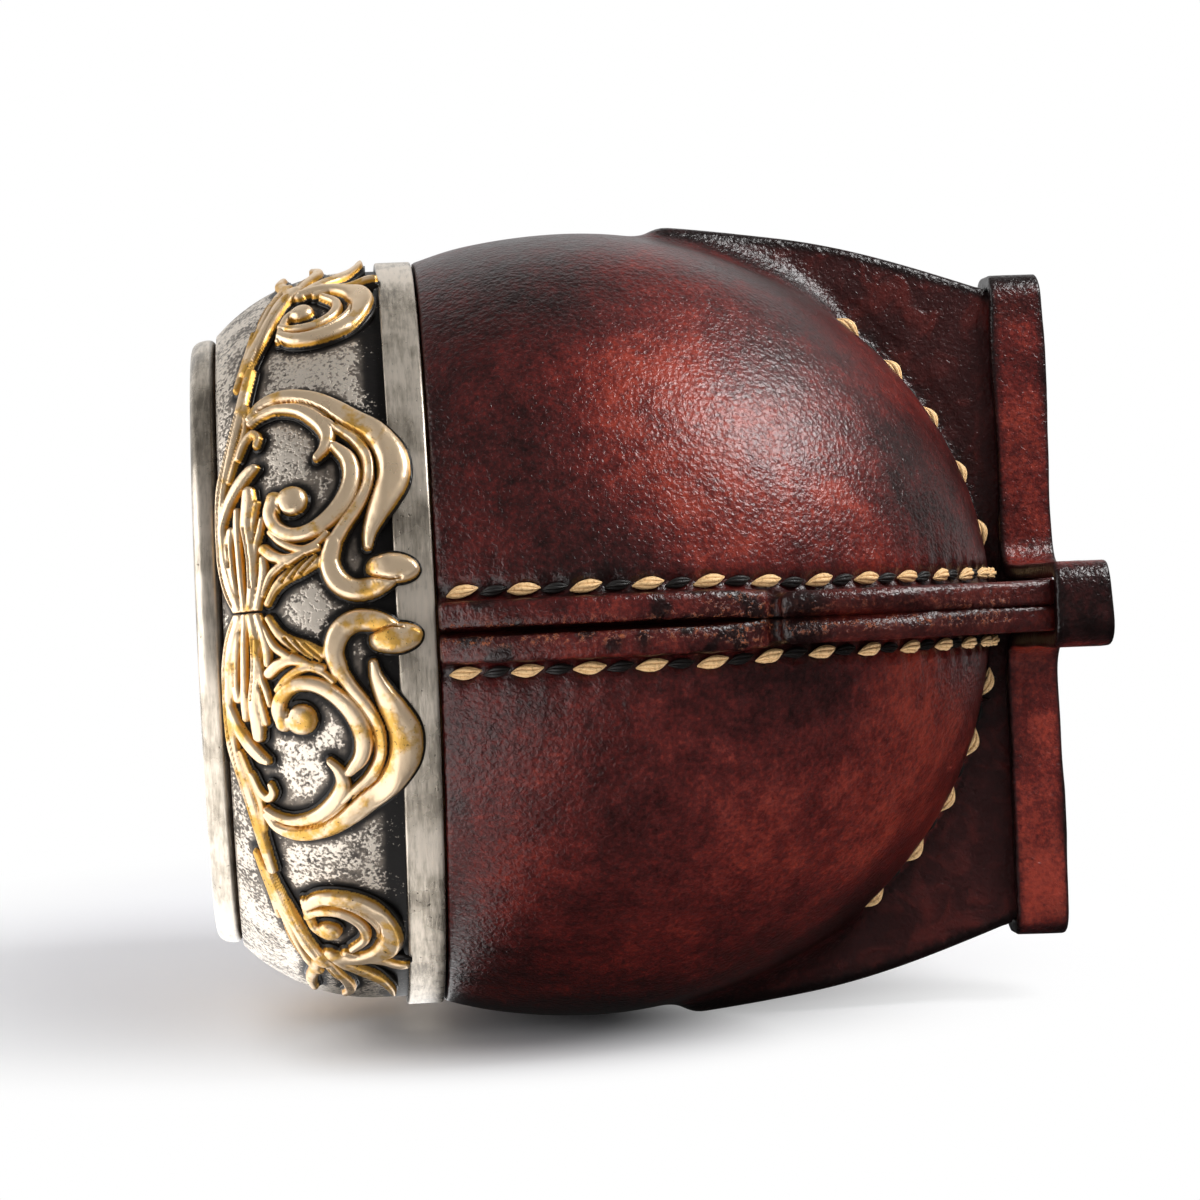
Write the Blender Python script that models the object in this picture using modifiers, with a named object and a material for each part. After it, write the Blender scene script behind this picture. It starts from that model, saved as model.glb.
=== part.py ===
import math

import bmesh
import bpy
from mathutils import Matrix, Vector

mm = 0.001

# The ball: two half ellipsoids that meet at the belly. Heights are from the foot's underside.
ball_radius = 47.4 * mm
lower_rise = 50.3 * mm
upper_rise = 53.8 * mm
foot_clearance = 7.9 * mm
belly_height = foot_clearance + lower_rise
leather_thickness = 2.6 * mm
gourd_wall = 3.5 * mm
fit_gap = 0.3 * mm
cut_overrun = 5 * mm
merge_distance = 0.001 * mm

# The metal rim: a straight band and a shoulder that rolls in to the lip.
joint_rise = 18.5 * mm
joint_height = belly_height + joint_rise
rim_step = 0.71 * mm
joint_share = joint_rise / upper_rise
dome_radius = ball_radius * math.sqrt(1 - joint_share * joint_share) - rim_step
straight_height = 7.3 * mm
shoulder_radius = 22.2 * mm
shoulder_turn = math.radians(46.9)
rim_wall = 1.5 * mm
edge_band_height = 4.9 * mm
edge_band_wall = 0.7 * mm
edge_band_rounding = 0.2 * mm
lip_set_back = 0.27 * mm
lip_radius = dome_radius - shoulder_radius * (1 - math.cos(shoulder_turn)) - lip_set_back
lip_height = 2.8 * mm
lip_rounding = 1.2 * mm
lip_width = 7.1 * mm
sleeve_wall = 0.7 * mm
mouth_radius = lip_radius - lip_width - fit_gap - sleeve_wall
sleeve_depth = 12 * mm
collar_height = 3 * mm
rim_turn = math.radians(4.6)

# The sewn edges and the fins that they widen into.
seam_gap = 0.3 * mm
welt_half_thickness = 3.6 * mm
welt_rise = 2.4 * mm
fin_half_thickness = 2.9 * mm
fin_rounding = 0.6 * mm
bar_drop = 18.3 * mm
bar_height = belly_height - bar_drop
bar_radius = 47.3 * mm
bar_step_radius = 1.6 * mm
side_fin_drop = 12.2 * mm
side_fin_height = belly_height - side_fin_drop
side_fin_radius = 46.9 * mm
fin_foot_radius = 38.6 * mm
fin_drop = 16 * mm
fin_lean = 5 * mm
fin_spring = 14 * mm

# The strip that goes round the ends of the fins.
strip_height = 6.7 * mm
strip_thickness = 1.7 * mm
strip_end_radius = 3 * mm
strip_corner_radius = 3.4 * mm
strip_rounding = 0.35 * mm

# The thread: one row at the foot of each sewn edge and fin.
stitch_length = 3.4 * mm
thread_radius = 0.62 * mm
hole_radius = 0.28 * mm
seam_row_start = 3 * mm
side_row_drop = 34.2 * mm
side_row_height = belly_height - side_row_drop
row_end_clearance = 4 * mm

# The castings: outlines are shares of a span round the band and a rise up it.
scroll_span = 44 * mm
scroll_rise = 22 * mm
casting_unit = (scroll_span / 2 + scroll_rise) / 2
casting_relief_share = 0.75
casting_flat_share = 0.72
casting_depth = 0.3 * mm
casting_stagger = 0.04 * mm
cut_spacing = 6 * mm
band_ramp = 1.8 * mm
ball_button_share = 0.091
ball_button_radius = ball_button_share * casting_unit
small_button_share = 0.057
small_button_radius = small_button_share * casting_unit
button_height = 1.3 * mm
button_top_share = 0.62

round_steps = 36
arc_steps = 4
hidden_steps = 3


def clear_scene():
    for item in list(bpy.data.objects):
        bpy.data.objects.remove(item, do_unlink=True)


def new_collection(name):
    found = bpy.data.collections.new(name)
    bpy.context.scene.collection.children.link(found)
    return found


def material(name, colour, roughness, metallic):
    made = bpy.data.materials.new(name)
    made.use_nodes = True
    shader = made.node_tree.nodes["Principled BSDF"]
    shader.inputs["Base Color"].default_value = (*colour, 1)
    shader.inputs["Roughness"].default_value = roughness
    shader.inputs["Metallic"].default_value = metallic
    made.diffuse_color = (*colour, 1)
    return made


def link(name, data, collection):
    made = bpy.data.objects.new(name, data)
    collection.objects.link(made)
    return made


def take_mesh(source, name):
    """A new mesh of the object as it is evaluated, in world space, with the object itself removed."""
    bpy.context.view_layer.update()
    graph = bpy.context.evaluated_depsgraph_get()
    mesh = bpy.data.meshes.new_from_object(source.evaluated_get(graph))
    mesh.transform(source.matrix_world)
    mesh.name = name
    bpy.data.objects.remove(source, do_unlink=True)
    working = bmesh.new()
    working.from_mesh(mesh)
    bmesh.ops.remove_doubles(working, verts=working.verts, dist=merge_distance)
    bmesh.ops.recalc_face_normals(working, faces=working.faces)
    working.to_mesh(mesh)
    working.free()
    return mesh


def finish(made, surface, angle=math.radians(35)):
    made.data.materials.clear()
    made.data.materials.append(surface)
    made.data.shade_smooth()
    made.data.set_sharp_from_angle(angle=angle)


def ellipse_radius(height, inset=0):
    """Radius of the ball at a height, on the surface that lies inset inside its outer one."""
    rise = (upper_rise if height > belly_height else lower_rise) - inset
    share = (height - belly_height) / rise
    return (ball_radius - inset) * math.sqrt(max(1 - share * share, 0))


def ball_points(inset, top, steps):
    """Profile of the ball from the height top down to its pole."""
    high = math.asin(min((top - belly_height) / (upper_rise - inset), 1))
    points = []
    for step in range(steps):
        angle = high * (1 - step / steps)
        points.append(((ball_radius - inset) * math.cos(angle), belly_height + (upper_rise - inset) * math.sin(angle)))
    for step in range(2 * steps + 1):
        angle = math.pi / 2 * step / (2 * steps)
        points.append(((ball_radius - inset) * math.cos(angle), belly_height - (lower_rise - inset) * math.sin(angle)))
    points[-1] = (0, points[-1][1])
    return points


def shoulder_points(inset, steps):
    """Profile of the dome from its top edge down to where it is straight."""
    points = []
    for step in range(steps + 1):
        angle = shoulder_turn * (1 - step / steps)
        points.append((dome_radius - shoulder_radius + (shoulder_radius - inset) * math.cos(angle),
                       joint_height + straight_height + (shoulder_radius - inset) * math.sin(angle)))
    return points


def turned(name, profile, collection, closed=True):
    """A solid turned round Z from a profile of (radius, height) points that runs down its outer side."""
    mesh = bpy.data.meshes.new(name)
    count = len(profile)
    edges = [(i, i + 1) for i in range(count - 1)]
    if closed:
        edges.append((count - 1, 0))
    mesh.from_pydata([(radius, 0, height) for radius, height in profile], edges, [])
    made = link(name, mesh, collection)
    screw = made.modifiers.new("Turn", "SCREW")
    screw.axis = "Z"
    screw.steps = round_steps
    screw.render_steps = round_steps
    screw.use_merge_vertices = True
    screw.merge_threshold = merge_distance
    return made


def flat_curve(name, outlines, thickness, rounding, collection):
    """A plate filled from closed outlines in XY, centred on Z = 0, with its edges rounded."""
    data = bpy.data.curves.new(name, "CURVE")
    data.dimensions = "2D"
    data.fill_mode = "BOTH"
    data.extrude = thickness / 2 - rounding
    data.bevel_depth = rounding
    data.bevel_resolution = 0
    data.offset = -rounding
    for outline in outlines:
        spline = data.splines.new("POLY")
        spline.points.add(len(outline) - 1)
        for point, place in zip(spline.points, outline):
            point.co = (*place, 0, 1)
        spline.use_cyclic_u = True
    return link(name, data, collection)


def combine(base, others, operation, collection, solver="EXACT"):
    """The base with a Boolean of each other object applied in turn, the others being used up."""
    name = base.name
    for other in others:
        boolean = base.modifiers.new(operation.title(), "BOOLEAN")
        boolean.operation = operation
        boolean.solver = solver
        boolean.object = other
        mesh = take_mesh(base, name)
        bpy.data.objects.remove(other, do_unlink=True)
        base = link(name, mesh, collection)
    return base


def box(name, low, high, collection):
    mesh = bpy.data.meshes.new(name)
    working = bmesh.new()
    bmesh.ops.create_cube(working, size=1)
    size = Vector(high) - Vector(low)
    middle = (Vector(high) + Vector(low)) / 2
    working.transform(Matrix.Translation(middle) @ Matrix.Diagonal((*size, 1)))
    working.to_mesh(mesh)
    working.free()
    made = link(name, mesh, collection)
    made.hide_render = True
    made.display_type = "WIRE"
    return made


def make_gourd_shell(collection, surface):
    inset = leather_thickness + fit_gap
    neck_inset = rim_wall + fit_gap
    top = joint_height - fit_gap
    outer = shoulder_points(neck_inset, hidden_steps)
    outer.append((dome_radius - neck_inset, joint_height + fit_gap))
    outer += ball_points(inset, top, hidden_steps)
    wall = neck_inset + gourd_wall
    inner = ball_points(inset + gourd_wall, top, hidden_steps)[::-1]
    inner.append((dome_radius - wall, joint_height + straight_height))
    inner += shoulder_points(wall, hidden_steps)[:-1][::-1]
    collar_radius = mouth_radius + sleeve_wall + fit_gap
    collar_top = outer[0][1]
    inner.append((collar_radius, collar_top - collar_height))
    inner.append((collar_radius, collar_top))
    finish(turned("gourd_shell", outer + inner, collection), surface)


def make_rim(collection, metals):
    outer = shoulder_points(0, arc_steps) + [(dome_radius, joint_height)]
    inner = shoulder_points(rim_wall, arc_steps) + [(dome_radius - rim_wall, joint_height)]
    finish(turned("rim_band", outer + inner[::-1], collection), metals["dark"])

    low = outer[0][1] + fit_gap
    high = low + lip_height
    inside = mouth_radius + sleeve_wall + fit_gap
    lip = []
    for step in range(arc_steps):
        angle = math.pi / 2 * (1 - step / (arc_steps - 1))
        lip.append((lip_radius - lip_rounding * (1 - math.cos(angle)), high - lip_rounding * (1 - math.sin(angle))))
    lip += [(lip_radius, low), (inside, low), (inside, high)]
    finish(turned("rim_lip", lip, collection), metals["polished"])

    sleeve_top = high - fit_gap
    sleeve = [(mouth_radius + sleeve_wall, sleeve_top), (mouth_radius + sleeve_wall, sleeve_top - sleeve_depth),
              (mouth_radius, sleeve_top - sleeve_depth), (mouth_radius, sleeve_top)]
    finish(turned("rim_sleeve", sleeve, collection), metals["polished"])

    seat = dome_radius + fit_gap
    face = seat + edge_band_wall
    top = joint_height + edge_band_height
    band = [(seat, top), (face - edge_band_rounding, top), (face, top - edge_band_rounding),
            (face, joint_height + edge_band_rounding), (face - edge_band_rounding, joint_height), (seat, joint_height)]
    finish(turned("rim_edge_band", band, collection), metals["polished"])


def bezier(start, first, second, end, steps):
    points = []
    for step in range(steps + 1):
        share = step / steps
        left = 1 - share
        points.append(tuple(left ** 3 * a + 3 * left ** 2 * share * b + 3 * left * share ** 2 * c + share ** 3 * d
                            for a, b, c, d in zip(start, first, second, end)))
    return points


def ridge(radius, height):
    """The free edge of a fin, from where it leaves the ball down to the strip."""
    end = (fin_foot_radius, strip_height)
    return bezier((radius, height), (radius, height - fin_drop), (end[0] + fin_lean, end[1] + fin_spring), end, 7)


def mirrored(points):
    return points + [(-across, height) for across, height in points[::-1]]


def side_fin_outline():
    half = [(ball_radius / 2, side_fin_height)]
    half += ridge(side_fin_radius, side_fin_height)
    half.append((fin_foot_radius - fit_gap, strip_height - fit_gap))
    half.append((fin_foot_radius - fit_gap, fit_gap))
    return mirrored(half)


def seam_fin_outline():
    half = [(ball_radius / 2, bar_height)]
    for step in range(4):
        angle = math.pi / 2 * (1 - step / 4)
        half.append((bar_radius - bar_step_radius * (1 - math.cos(angle)),
                     bar_height - bar_step_radius * (1 - math.sin(angle))))
    half += ridge(bar_radius, bar_height - bar_step_radius)
    half.append((fin_foot_radius - fit_gap, strip_height - fit_gap))
    half.append((fin_foot_radius - fit_gap, fit_gap))
    return mirrored(half)


def welt_outline():
    top = joint_height - 2 * fit_gap
    low = bar_height - welt_rise
    half = [(ball_radius / 2, top)]
    steps = 7
    for step in range(steps + 1):
        height = top + (low - top) * step / steps
        half.append((ellipse_radius(height) + welt_rise, height))
    half.append((ball_radius / 2, low))
    return mirrored(half)


def stood_up(plate, turn):
    """The plate with its outline's second axis upright, turned about Z."""
    plate.matrix_world = Matrix.Rotation(turn, 4, "Z") @ Matrix.Rotation(math.pi / 2, 4, "X")
    return plate


def solid_plate(name, outline, half_thickness, turn, collection):
    plate = flat_curve(name, [outline], 2 * half_thickness, fin_rounding, collection)
    mesh = take_mesh(stood_up(plate, turn), name)
    return link(name, mesh, collection)


def make_leather(collection, cutters, surface):
    top = joint_height - fit_gap
    outer = [(0, top)] + ball_points(0, top, arc_steps)
    cover = turned("cover", outer, collection, closed=False)
    cover = link("cover", take_mesh(cover, "cover"), collection)
    side_turn = 0
    seam_turn = math.pi / 2
    plates = [
        solid_plate("side_fins", side_fin_outline(), fin_half_thickness, side_turn, cutters),
        solid_plate("seam_fins", seam_fin_outline(), fin_half_thickness, seam_turn, cutters),
        solid_plate("welts", welt_outline(), welt_half_thickness, seam_turn, cutters),
    ]
    cover = combine(cover, plates, "UNION", collection, "MANIFOLD")
    inside = ball_points(leather_thickness, top, hidden_steps)
    mouth = [(0, top + cut_overrun), (inside[0][0], top + cut_overrun)]
    hollow = turned("hollow", mouth + inside, cutters, closed=False)
    hollow = link("hollow", take_mesh(hollow, "hollow"), cutters)
    cover = combine(cover, [hollow], "DIFFERENCE", collection)
    reach = ball_radius + cut_overrun
    for side, name in ((1, "leather_half_right"), (-1, "leather_half_left")):
        half = link(name, cover.data.copy(), collection)
        near = side * seam_gap / 2
        far = side * reach
        room = box(name + "_room", (min(near, far), -reach, -cut_overrun), (max(near, far), reach, joint_height),
                   cutters)
        half = combine(half, [room], "INTERSECT", collection)
        finish(half, surface, math.radians(50))
    bpy.data.objects.remove(cover, do_unlink=True)


def corner(centre, radius, start, turn, steps):
    return [(centre[0] + radius * math.cos(start + turn * step / steps),
             centre[1] + radius * math.sin(start + turn * step / steps)) for step in range(steps + 1)]


def cross_outline(reach, half_width, end_radius, corner_radius):
    """A four-armed outline with round-cornered arm ends and filleted inner corners."""
    points = []
    quarter = math.pi / 2
    for arm in range(4):
        turn = Matrix.Rotation(arm * quarter, 2)
        shape = corner((reach - end_radius, -half_width + end_radius), end_radius, -quarter, quarter, 3)
        shape += corner((reach - end_radius, half_width - end_radius), end_radius, 0, quarter, 3)
        middle = half_width + corner_radius
        shape += corner((middle, middle), corner_radius, -quarter, -quarter, 3)
        points += [tuple(turn @ Vector(place)) for place in shape]
    return points


def make_foot_strip(collection, surface):
    inner_half = fin_half_thickness + fit_gap
    outer = cross_outline(fin_foot_radius + strip_thickness, inner_half + strip_thickness, strip_end_radius,
                          strip_corner_radius)
    inner = cross_outline(fin_foot_radius, inner_half, strip_end_radius - strip_thickness,
                          strip_corner_radius + strip_thickness)
    strip = flat_curve("foot_strip", [outer, inner], strip_height - fit_gap, strip_rounding, collection)
    strip.location.z = (strip_height - fit_gap) / 2
    finish(link("foot_strip", take_mesh(strip, "foot_strip"), collection), surface)


def seam_row_path(side, end):
    """Points down the foot of a seam edge, on the ball's surface, to just short of the side fins."""
    off = thread_radius + fit_gap
    points = []
    top = joint_height - seam_row_start
    high = math.asin((top - belly_height) / upper_rise)
    steps = 60
    for step in range(steps + 1):
        angle = high - (high + math.pi / 2) * step / steps
        rise = upper_rise if angle > 0 else lower_rise
        height = belly_height + (rise + off) * math.sin(angle)
        radius = (ball_radius + off) * math.cos(angle)
        edge = welt_half_thickness if height > bar_height - welt_rise - stitch_length else fin_half_thickness
        across = side * (edge + off)
        if radius > fin_half_thickness + row_end_clearance:
            along = math.sqrt(max(radius * radius - across * across, 0))
            points.append(Vector((across, -end * along, height)))
    return points


def side_row_path(side, end):
    """Points down the foot of a side fin, from where its stitches start to just short of the seam fins."""
    off = thread_radius + fit_gap
    across = end * (fin_half_thickness + off)
    start = math.asin((side_row_height - belly_height) / lower_rise)
    points = []
    steps = 30
    for step in range(steps + 1):
        angle = start - (start + math.pi / 2) * step / steps
        height = belly_height + (lower_rise + off) * math.sin(angle)
        radius = (ball_radius + off) * math.cos(angle)
        if radius > fin_half_thickness + row_end_clearance + stitch_length:
            along = math.sqrt(max(radius * radius - across * across, 0))
            points.append(Vector((side * along, -across, height)))
    return points


def spaced(points, spacing):
    """Points at an even spacing along a path."""
    lengths = [0]
    for first, second in zip(points, points[1:]):
        lengths.append(lengths[-1] + (second - first).length)
    count = max(int(lengths[-1] / spacing), 2)
    found = []
    place = 0
    for step in range(count + 1):
        wanted = lengths[-1] * step / count
        while place < len(lengths) - 2 and lengths[place + 1] < wanted:
            place += 1
        share = (wanted - lengths[place]) / (lengths[place + 1] - lengths[place])
        found.append(points[place].lerp(points[place + 1], share))
    return found


def make_stitch_row(name, path, collection, surface):
    """A thread that swells along each stitch and thins at each hole, at two points a stitch."""
    places = spaced(path, stitch_length / 2)
    data = bpy.data.curves.new(name, "CURVE")
    data.dimensions = "3D"
    data.bevel_depth = thread_radius
    data.bevel_resolution = 0
    data.use_fill_caps = True
    spline = data.splines.new("POLY")
    spline.points.add(len(places) - 1)
    for index, (point, place) in enumerate(zip(spline.points, places)):
        point.co = (*place, 1)
        point.radius = 1 if index % 2 else hole_radius / thread_radius
    made = link(name, data, collection)
    finish(link(name, take_mesh(made, name), collection), surface)


def make_stitches(collection, surface):
    for side, side_name in ((1, "right"), (-1, "left")):
        for end, end_name in ((1, "front"), (-1, "back")):
            make_stitch_row(f"stitch_seam_{end_name}_{side_name}", seam_row_path(side, end), collection, surface)
            make_stitch_row(f"stitch_fin_{side_name}_{end_name}", side_row_path(side, end), collection, surface)


# Each stroke is a list of (share of the span, share of the rise, half width as a share of the casting unit).
neck_shares = [(0.085, 0.30, 0.045), (0.045, 0.38, 0.042), (0.058, 0.50, 0.055), (0.104, 0.520, 0.055),
               (0.170, 0.44, 0.046), (0.250, 0.33, 0.040), (0.340, 0.28, 0.036), (0.430, 0.37, 0.030),
               (0.510, 0.49, 0.020)]
beak_shares = [(0.082, 0.10, 0.034), (0.094, 0.19, 0.068), (0.094, 0.30, 0.050)]
band_shares = [(0.150, 0.45, 0.028), (0.220, 0.28, 0.052), (0.290, 0.19, 0.080), (0.375, 0.175, 0.087),
               (0.452, 0.27, 0.078), (0.525, 0.43, 0.065), (0.588, 0.67, 0.048), (0.590, 0.80, 0.032),
               (0.552, 0.88, 0.012)]
lobe_shares = [(0.409, 0.51, 0.026), (0.455, 0.495, 0.038), (0.512, 0.59, 0.038), (0.556, 0.74, 0.032),
               (0.568, 0.85, 0.018)]
spiral_shares = [(0.440, 0.39, 0.018), (0.385, 0.355, 0.042), (0.318, 0.38, 0.050), (0.250, 0.45, 0.046),
                 (0.205, 0.56, 0.041), (0.192, 0.68, 0.038), (0.225, 0.755, 0.036), (0.262, 0.75, 0.030)]
ball_shares = (0.280, 0.70)

stem_shares = [(0.024, 1.00, 0.036), (0.080, 1.06, 0.045), (0.170, 1.085, 0.036), (0.284, 1.085, 0.034),
               (0.384, 1.06, 0.034), (0.500, 1.00, 0.034), (0.620, 0.94, 0.030), (0.705, 0.90, 0.018)]
finger_shares = [(0.044, 1.03, 0.028), (0.150, 0.965, 0.035), (0.260, 0.94, 0.040), (0.332, 0.93, 0.026)]
shell_shares = [(0.034, 1.00, 0.028), (0.075, 0.80, 0.040), (0.112, 0.69, 0.046), (0.134, 0.61, 0.018)]
leaf_shares = [(0.270, 1.08, 0.026), (0.360, 1.02, 0.038), (0.392, 0.89, 0.022)]
comma_shares = [(0.470, 1.01, 0.020), (0.505, 0.94, 0.028), (0.484, 0.87, 0.018)]

crescent_shares = [(0.823, 0.71, 0.020), (0.801, 0.62, 0.042), (0.812, 0.45, 0.056), (0.889, 0.30, 0.064),
                   (0.965, 0.29, 0.054), (1.020, 0.43, 0.036), (1.080, 0.62, 0.034)]
inner_shares = [(0.826, 0.70, 0.020), (0.890, 0.725, 0.024), (0.955, 0.65, 0.020)]
small_ball_shares = (0.936, 0.60)
branch_shares = [(0.728, 0.90, 0.018), (0.800, 0.87, 0.030), (0.909, 0.80, 0.028), (1.000, 0.72, 0.028),
                 (1.085, 0.64, 0.030), (1.190, 0.61, 0.026), (1.290, 0.66, 0.014)]
fan_shares = [(1.060, 0.56, 0.028), (1.165, 0.39, 0.040), (1.270, 0.27, 0.018)]
small_fan_shares = [(1.050, 0.50, 0.024), (1.072, 0.38, 0.030), (1.066, 0.25, 0.014)]


def stroke(name, shares, level, profile, collection):
    """A tapering half-round bar along a smooth line in XY, lying level below Z = 0."""
    data = bpy.data.curves.new(name, "CURVE")
    data.dimensions = "3D"
    data.twist_mode = "Z_UP"
    data.resolution_u = 2
    data.bevel_mode = "OBJECT"
    data.bevel_object = profile
    data.use_fill_caps = True
    spline = data.splines.new("BEZIER")
    spline.bezier_points.add(len(shares) - 1)
    for point, (across, up, width) in zip(spline.bezier_points, shares):
        point.co = (across * scroll_span, up * scroll_rise, -level)
        point.radius = width * casting_unit
        point.handle_left_type = "AUTO"
        point.handle_right_type = "AUTO"
    made = link(name, data, collection)
    return link(name, take_mesh(made, name), collection)


def button(name, shares, radius, level, collection):
    mesh = bpy.data.meshes.new(name)
    working = bmesh.new()
    bmesh.ops.create_cone(working, cap_ends=True, segments=8, radius1=radius, radius2=radius * button_top_share,
                          depth=button_height + level)
    centre = (shares[0] * scroll_span, shares[1] * scroll_rise, (button_height - level) / 2)
    bmesh.ops.translate(working, verts=working.verts, vec=centre)
    working.to_mesh(mesh)
    working.free()
    return link(name, mesh, collection)


def half_round(collection):
    """The section of a stroke for a half width of 1: its crown rises by the relief share."""
    data = bpy.data.curves.new("half_round", "CURVE")
    data.dimensions = "2D"
    data.fill_mode = "NONE"
    crown = casting_relief_share
    flat = casting_flat_share
    section = [(-1, -crown), (1, -crown), (flat, crown), (-flat, crown)]
    spline = data.splines.new("POLY")
    spline.points.add(len(section) - 1)
    for point, place in zip(spline.points, section):
        point.co = (*place, 0, 1)
    spline.use_cyclic_u = True
    made = link("half_round", data, collection)
    made.hide_render = True
    made.display_type = "WIRE"
    return made


def cut_across(working, normal, places):
    for place in places:
        parts = list(working.verts) + list(working.edges) + list(working.faces)
        bmesh.ops.bisect_plane(working, geom=parts, dist=merge_distance, plane_co=Vector(normal) * place,
                               plane_no=normal)


def band_point(across, up, height, turn, side):
    """A place on the rim: across is measured round the band from the turn, up along its profile."""
    angle = turn + side * across / dome_radius
    shoulder = max(up - straight_height, 0) / shoulder_radius
    over_band = min(max((edge_band_height + fit_gap + band_ramp - up) / band_ramp, 0), 1)
    lift = height + fit_gap + over_band * (edge_band_wall + fit_gap)
    if shoulder == 0:
        radius = dome_radius + lift
        level = joint_height + up
    else:
        radius = dome_radius - shoulder_radius + (shoulder_radius + lift) * math.cos(shoulder)
        level = joint_height + straight_height + (shoulder_radius + lift) * math.sin(shoulder)
    return Vector((radius * math.sin(angle), -radius * math.cos(angle), level))


def flat_casting(name, strokes, buttons, profile, cutters):
    """The union of strokes and buttons on the plane, cut flat below and scored where the band is curved."""
    pieces = []
    for index, shares in enumerate(strokes):
        pieces.append(stroke(f"{name}_stroke_{index}", shares, index * casting_stagger, profile, cutters))
    for index, (shares, radius) in enumerate(buttons):
        pieces.append(button(f"{name}_button_{index}", shares, radius, casting_depth + index * casting_stagger,
                             cutters))
    made = combine(pieces[0], pieces[1:], "UNION", cutters)
    reach = 2 * scroll_span
    room = box(name + "_room", (-reach, -reach, 0), (reach, reach, reach), cutters)
    made = combine(made, [room], "INTERSECT", cutters)
    working = bmesh.new()
    working.from_mesh(made.data)
    count = int(1.5 * scroll_span / cut_spacing)
    cut_across(working, (1, 0, 0), [step * cut_spacing for step in range(1, count)])
    ramp_top = edge_band_height + fit_gap + band_ramp
    levels = [edge_band_height + fit_gap, ramp_top]
    levels += [straight_height + step * cut_spacing for step in range(1, 3)]
    cut_across(working, (0, 1, 0), levels)
    bmesh.ops.triangulate(working, faces=working.faces)
    working.to_mesh(made.data)
    working.free()
    made.hide_render = True
    return made


def place_casting(name, flat, turn, side, collection, surface):
    mesh = flat.data.copy()
    mesh.name = name
    for vertex in mesh.vertices:
        vertex.co = band_point(*vertex.co, turn, side)
    made = link(name, mesh, collection)
    if side < 0:
        mesh.flip_normals()
    finish(made, surface)


def make_castings(collection, cutters, surface):
    profile = half_round(cutters)
    designs = {
        "scroll": flat_casting("scroll", [neck_shares, beak_shares, band_shares, lobe_shares, spiral_shares],
                               [(ball_shares, ball_button_radius)], profile, cutters),
        "leaf": flat_casting("leaf", [stem_shares, finger_shares, shell_shares, leaf_shares, comma_shares], [],
                             profile, cutters),
        "crescent": flat_casting("crescent", [crescent_shares, inner_shares, branch_shares, fan_shares,
                                              small_fan_shares],
                                 [(small_ball_shares, small_button_radius)], profile, cutters),
    }
    for design, flat in designs.items():
        for turn, end_name in ((rim_turn, "front"), (rim_turn + math.pi, "back")):
            for side, side_name in ((1, "right"), (-1, "left")):
                place_casting(f"casting_{design}_{end_name}_{side_name}", flat, turn, side, collection, surface)


def build():
    clear_scene()
    parts = new_collection("mate_gourd")
    cutters = new_collection("cutters")
    gourd = material("dried_gourd", (0.30, 0.16, 0.07), 0.7, 0)
    metals = {
        "dark": material("dark_silver", (0.05, 0.045, 0.04), 0.5, 1),
        "polished": material("nickel_silver", (0.62, 0.58, 0.52), 0.28, 1),
    }
    gilt = material("gilt_bronze", (0.70, 0.45, 0.18), 0.3, 1)
    leather = material("dark_red_leather", (0.085, 0.012, 0.009), 0.42, 0)
    thread = material("waxed_thread", (0.62, 0.38, 0.16), 0.65, 0)
    make_gourd_shell(parts, gourd)
    make_rim(parts, metals)
    make_leather(parts, cutters, leather)
    make_foot_strip(parts, leather)
    make_stitches(parts, thread)
    make_castings(parts, cutters, gilt)


build()
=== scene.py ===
from functools import partial
import math

import bmesh
import bpy
import numpy as np
from mathutils import Matrix, Vector


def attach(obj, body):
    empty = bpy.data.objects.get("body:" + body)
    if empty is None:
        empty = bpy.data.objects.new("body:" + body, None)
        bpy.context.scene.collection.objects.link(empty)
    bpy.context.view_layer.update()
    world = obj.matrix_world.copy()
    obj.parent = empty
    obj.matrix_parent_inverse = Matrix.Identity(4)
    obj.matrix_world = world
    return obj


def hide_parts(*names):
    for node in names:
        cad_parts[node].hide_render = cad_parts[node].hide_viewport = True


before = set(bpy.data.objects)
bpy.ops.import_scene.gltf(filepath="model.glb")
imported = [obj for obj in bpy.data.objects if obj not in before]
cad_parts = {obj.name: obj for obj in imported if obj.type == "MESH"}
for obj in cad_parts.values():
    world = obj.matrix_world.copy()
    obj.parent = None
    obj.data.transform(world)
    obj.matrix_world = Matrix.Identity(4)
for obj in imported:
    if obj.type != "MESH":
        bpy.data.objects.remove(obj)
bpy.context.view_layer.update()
print("frame loaded")

mm = 0.001
sides = ((1, "right"), (-1, "left"))

# The cup's own sizes in millimetres, as in its frame: the ball is two half ellipsoids.
cup = {
    "ballRadius": 47.4,
    "bellyHeight": 58.2,
    "lowerRise": 50.3,
    "upperRise": 53.8,
    "leatherThickness": 2.6,
    "gap": 0.3,
    "jointHeight": 76.7,
}


# Small tools
def hexColour(code):
    parts = [int(code[i:i + 2], 16) / 255 for i in (1, 3, 5)]
    return [c / 12.92 if c <= 0.04045 else ((c + 0.055) / 1.055) ** 2.4 for c in parts] + [1.0]


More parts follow.
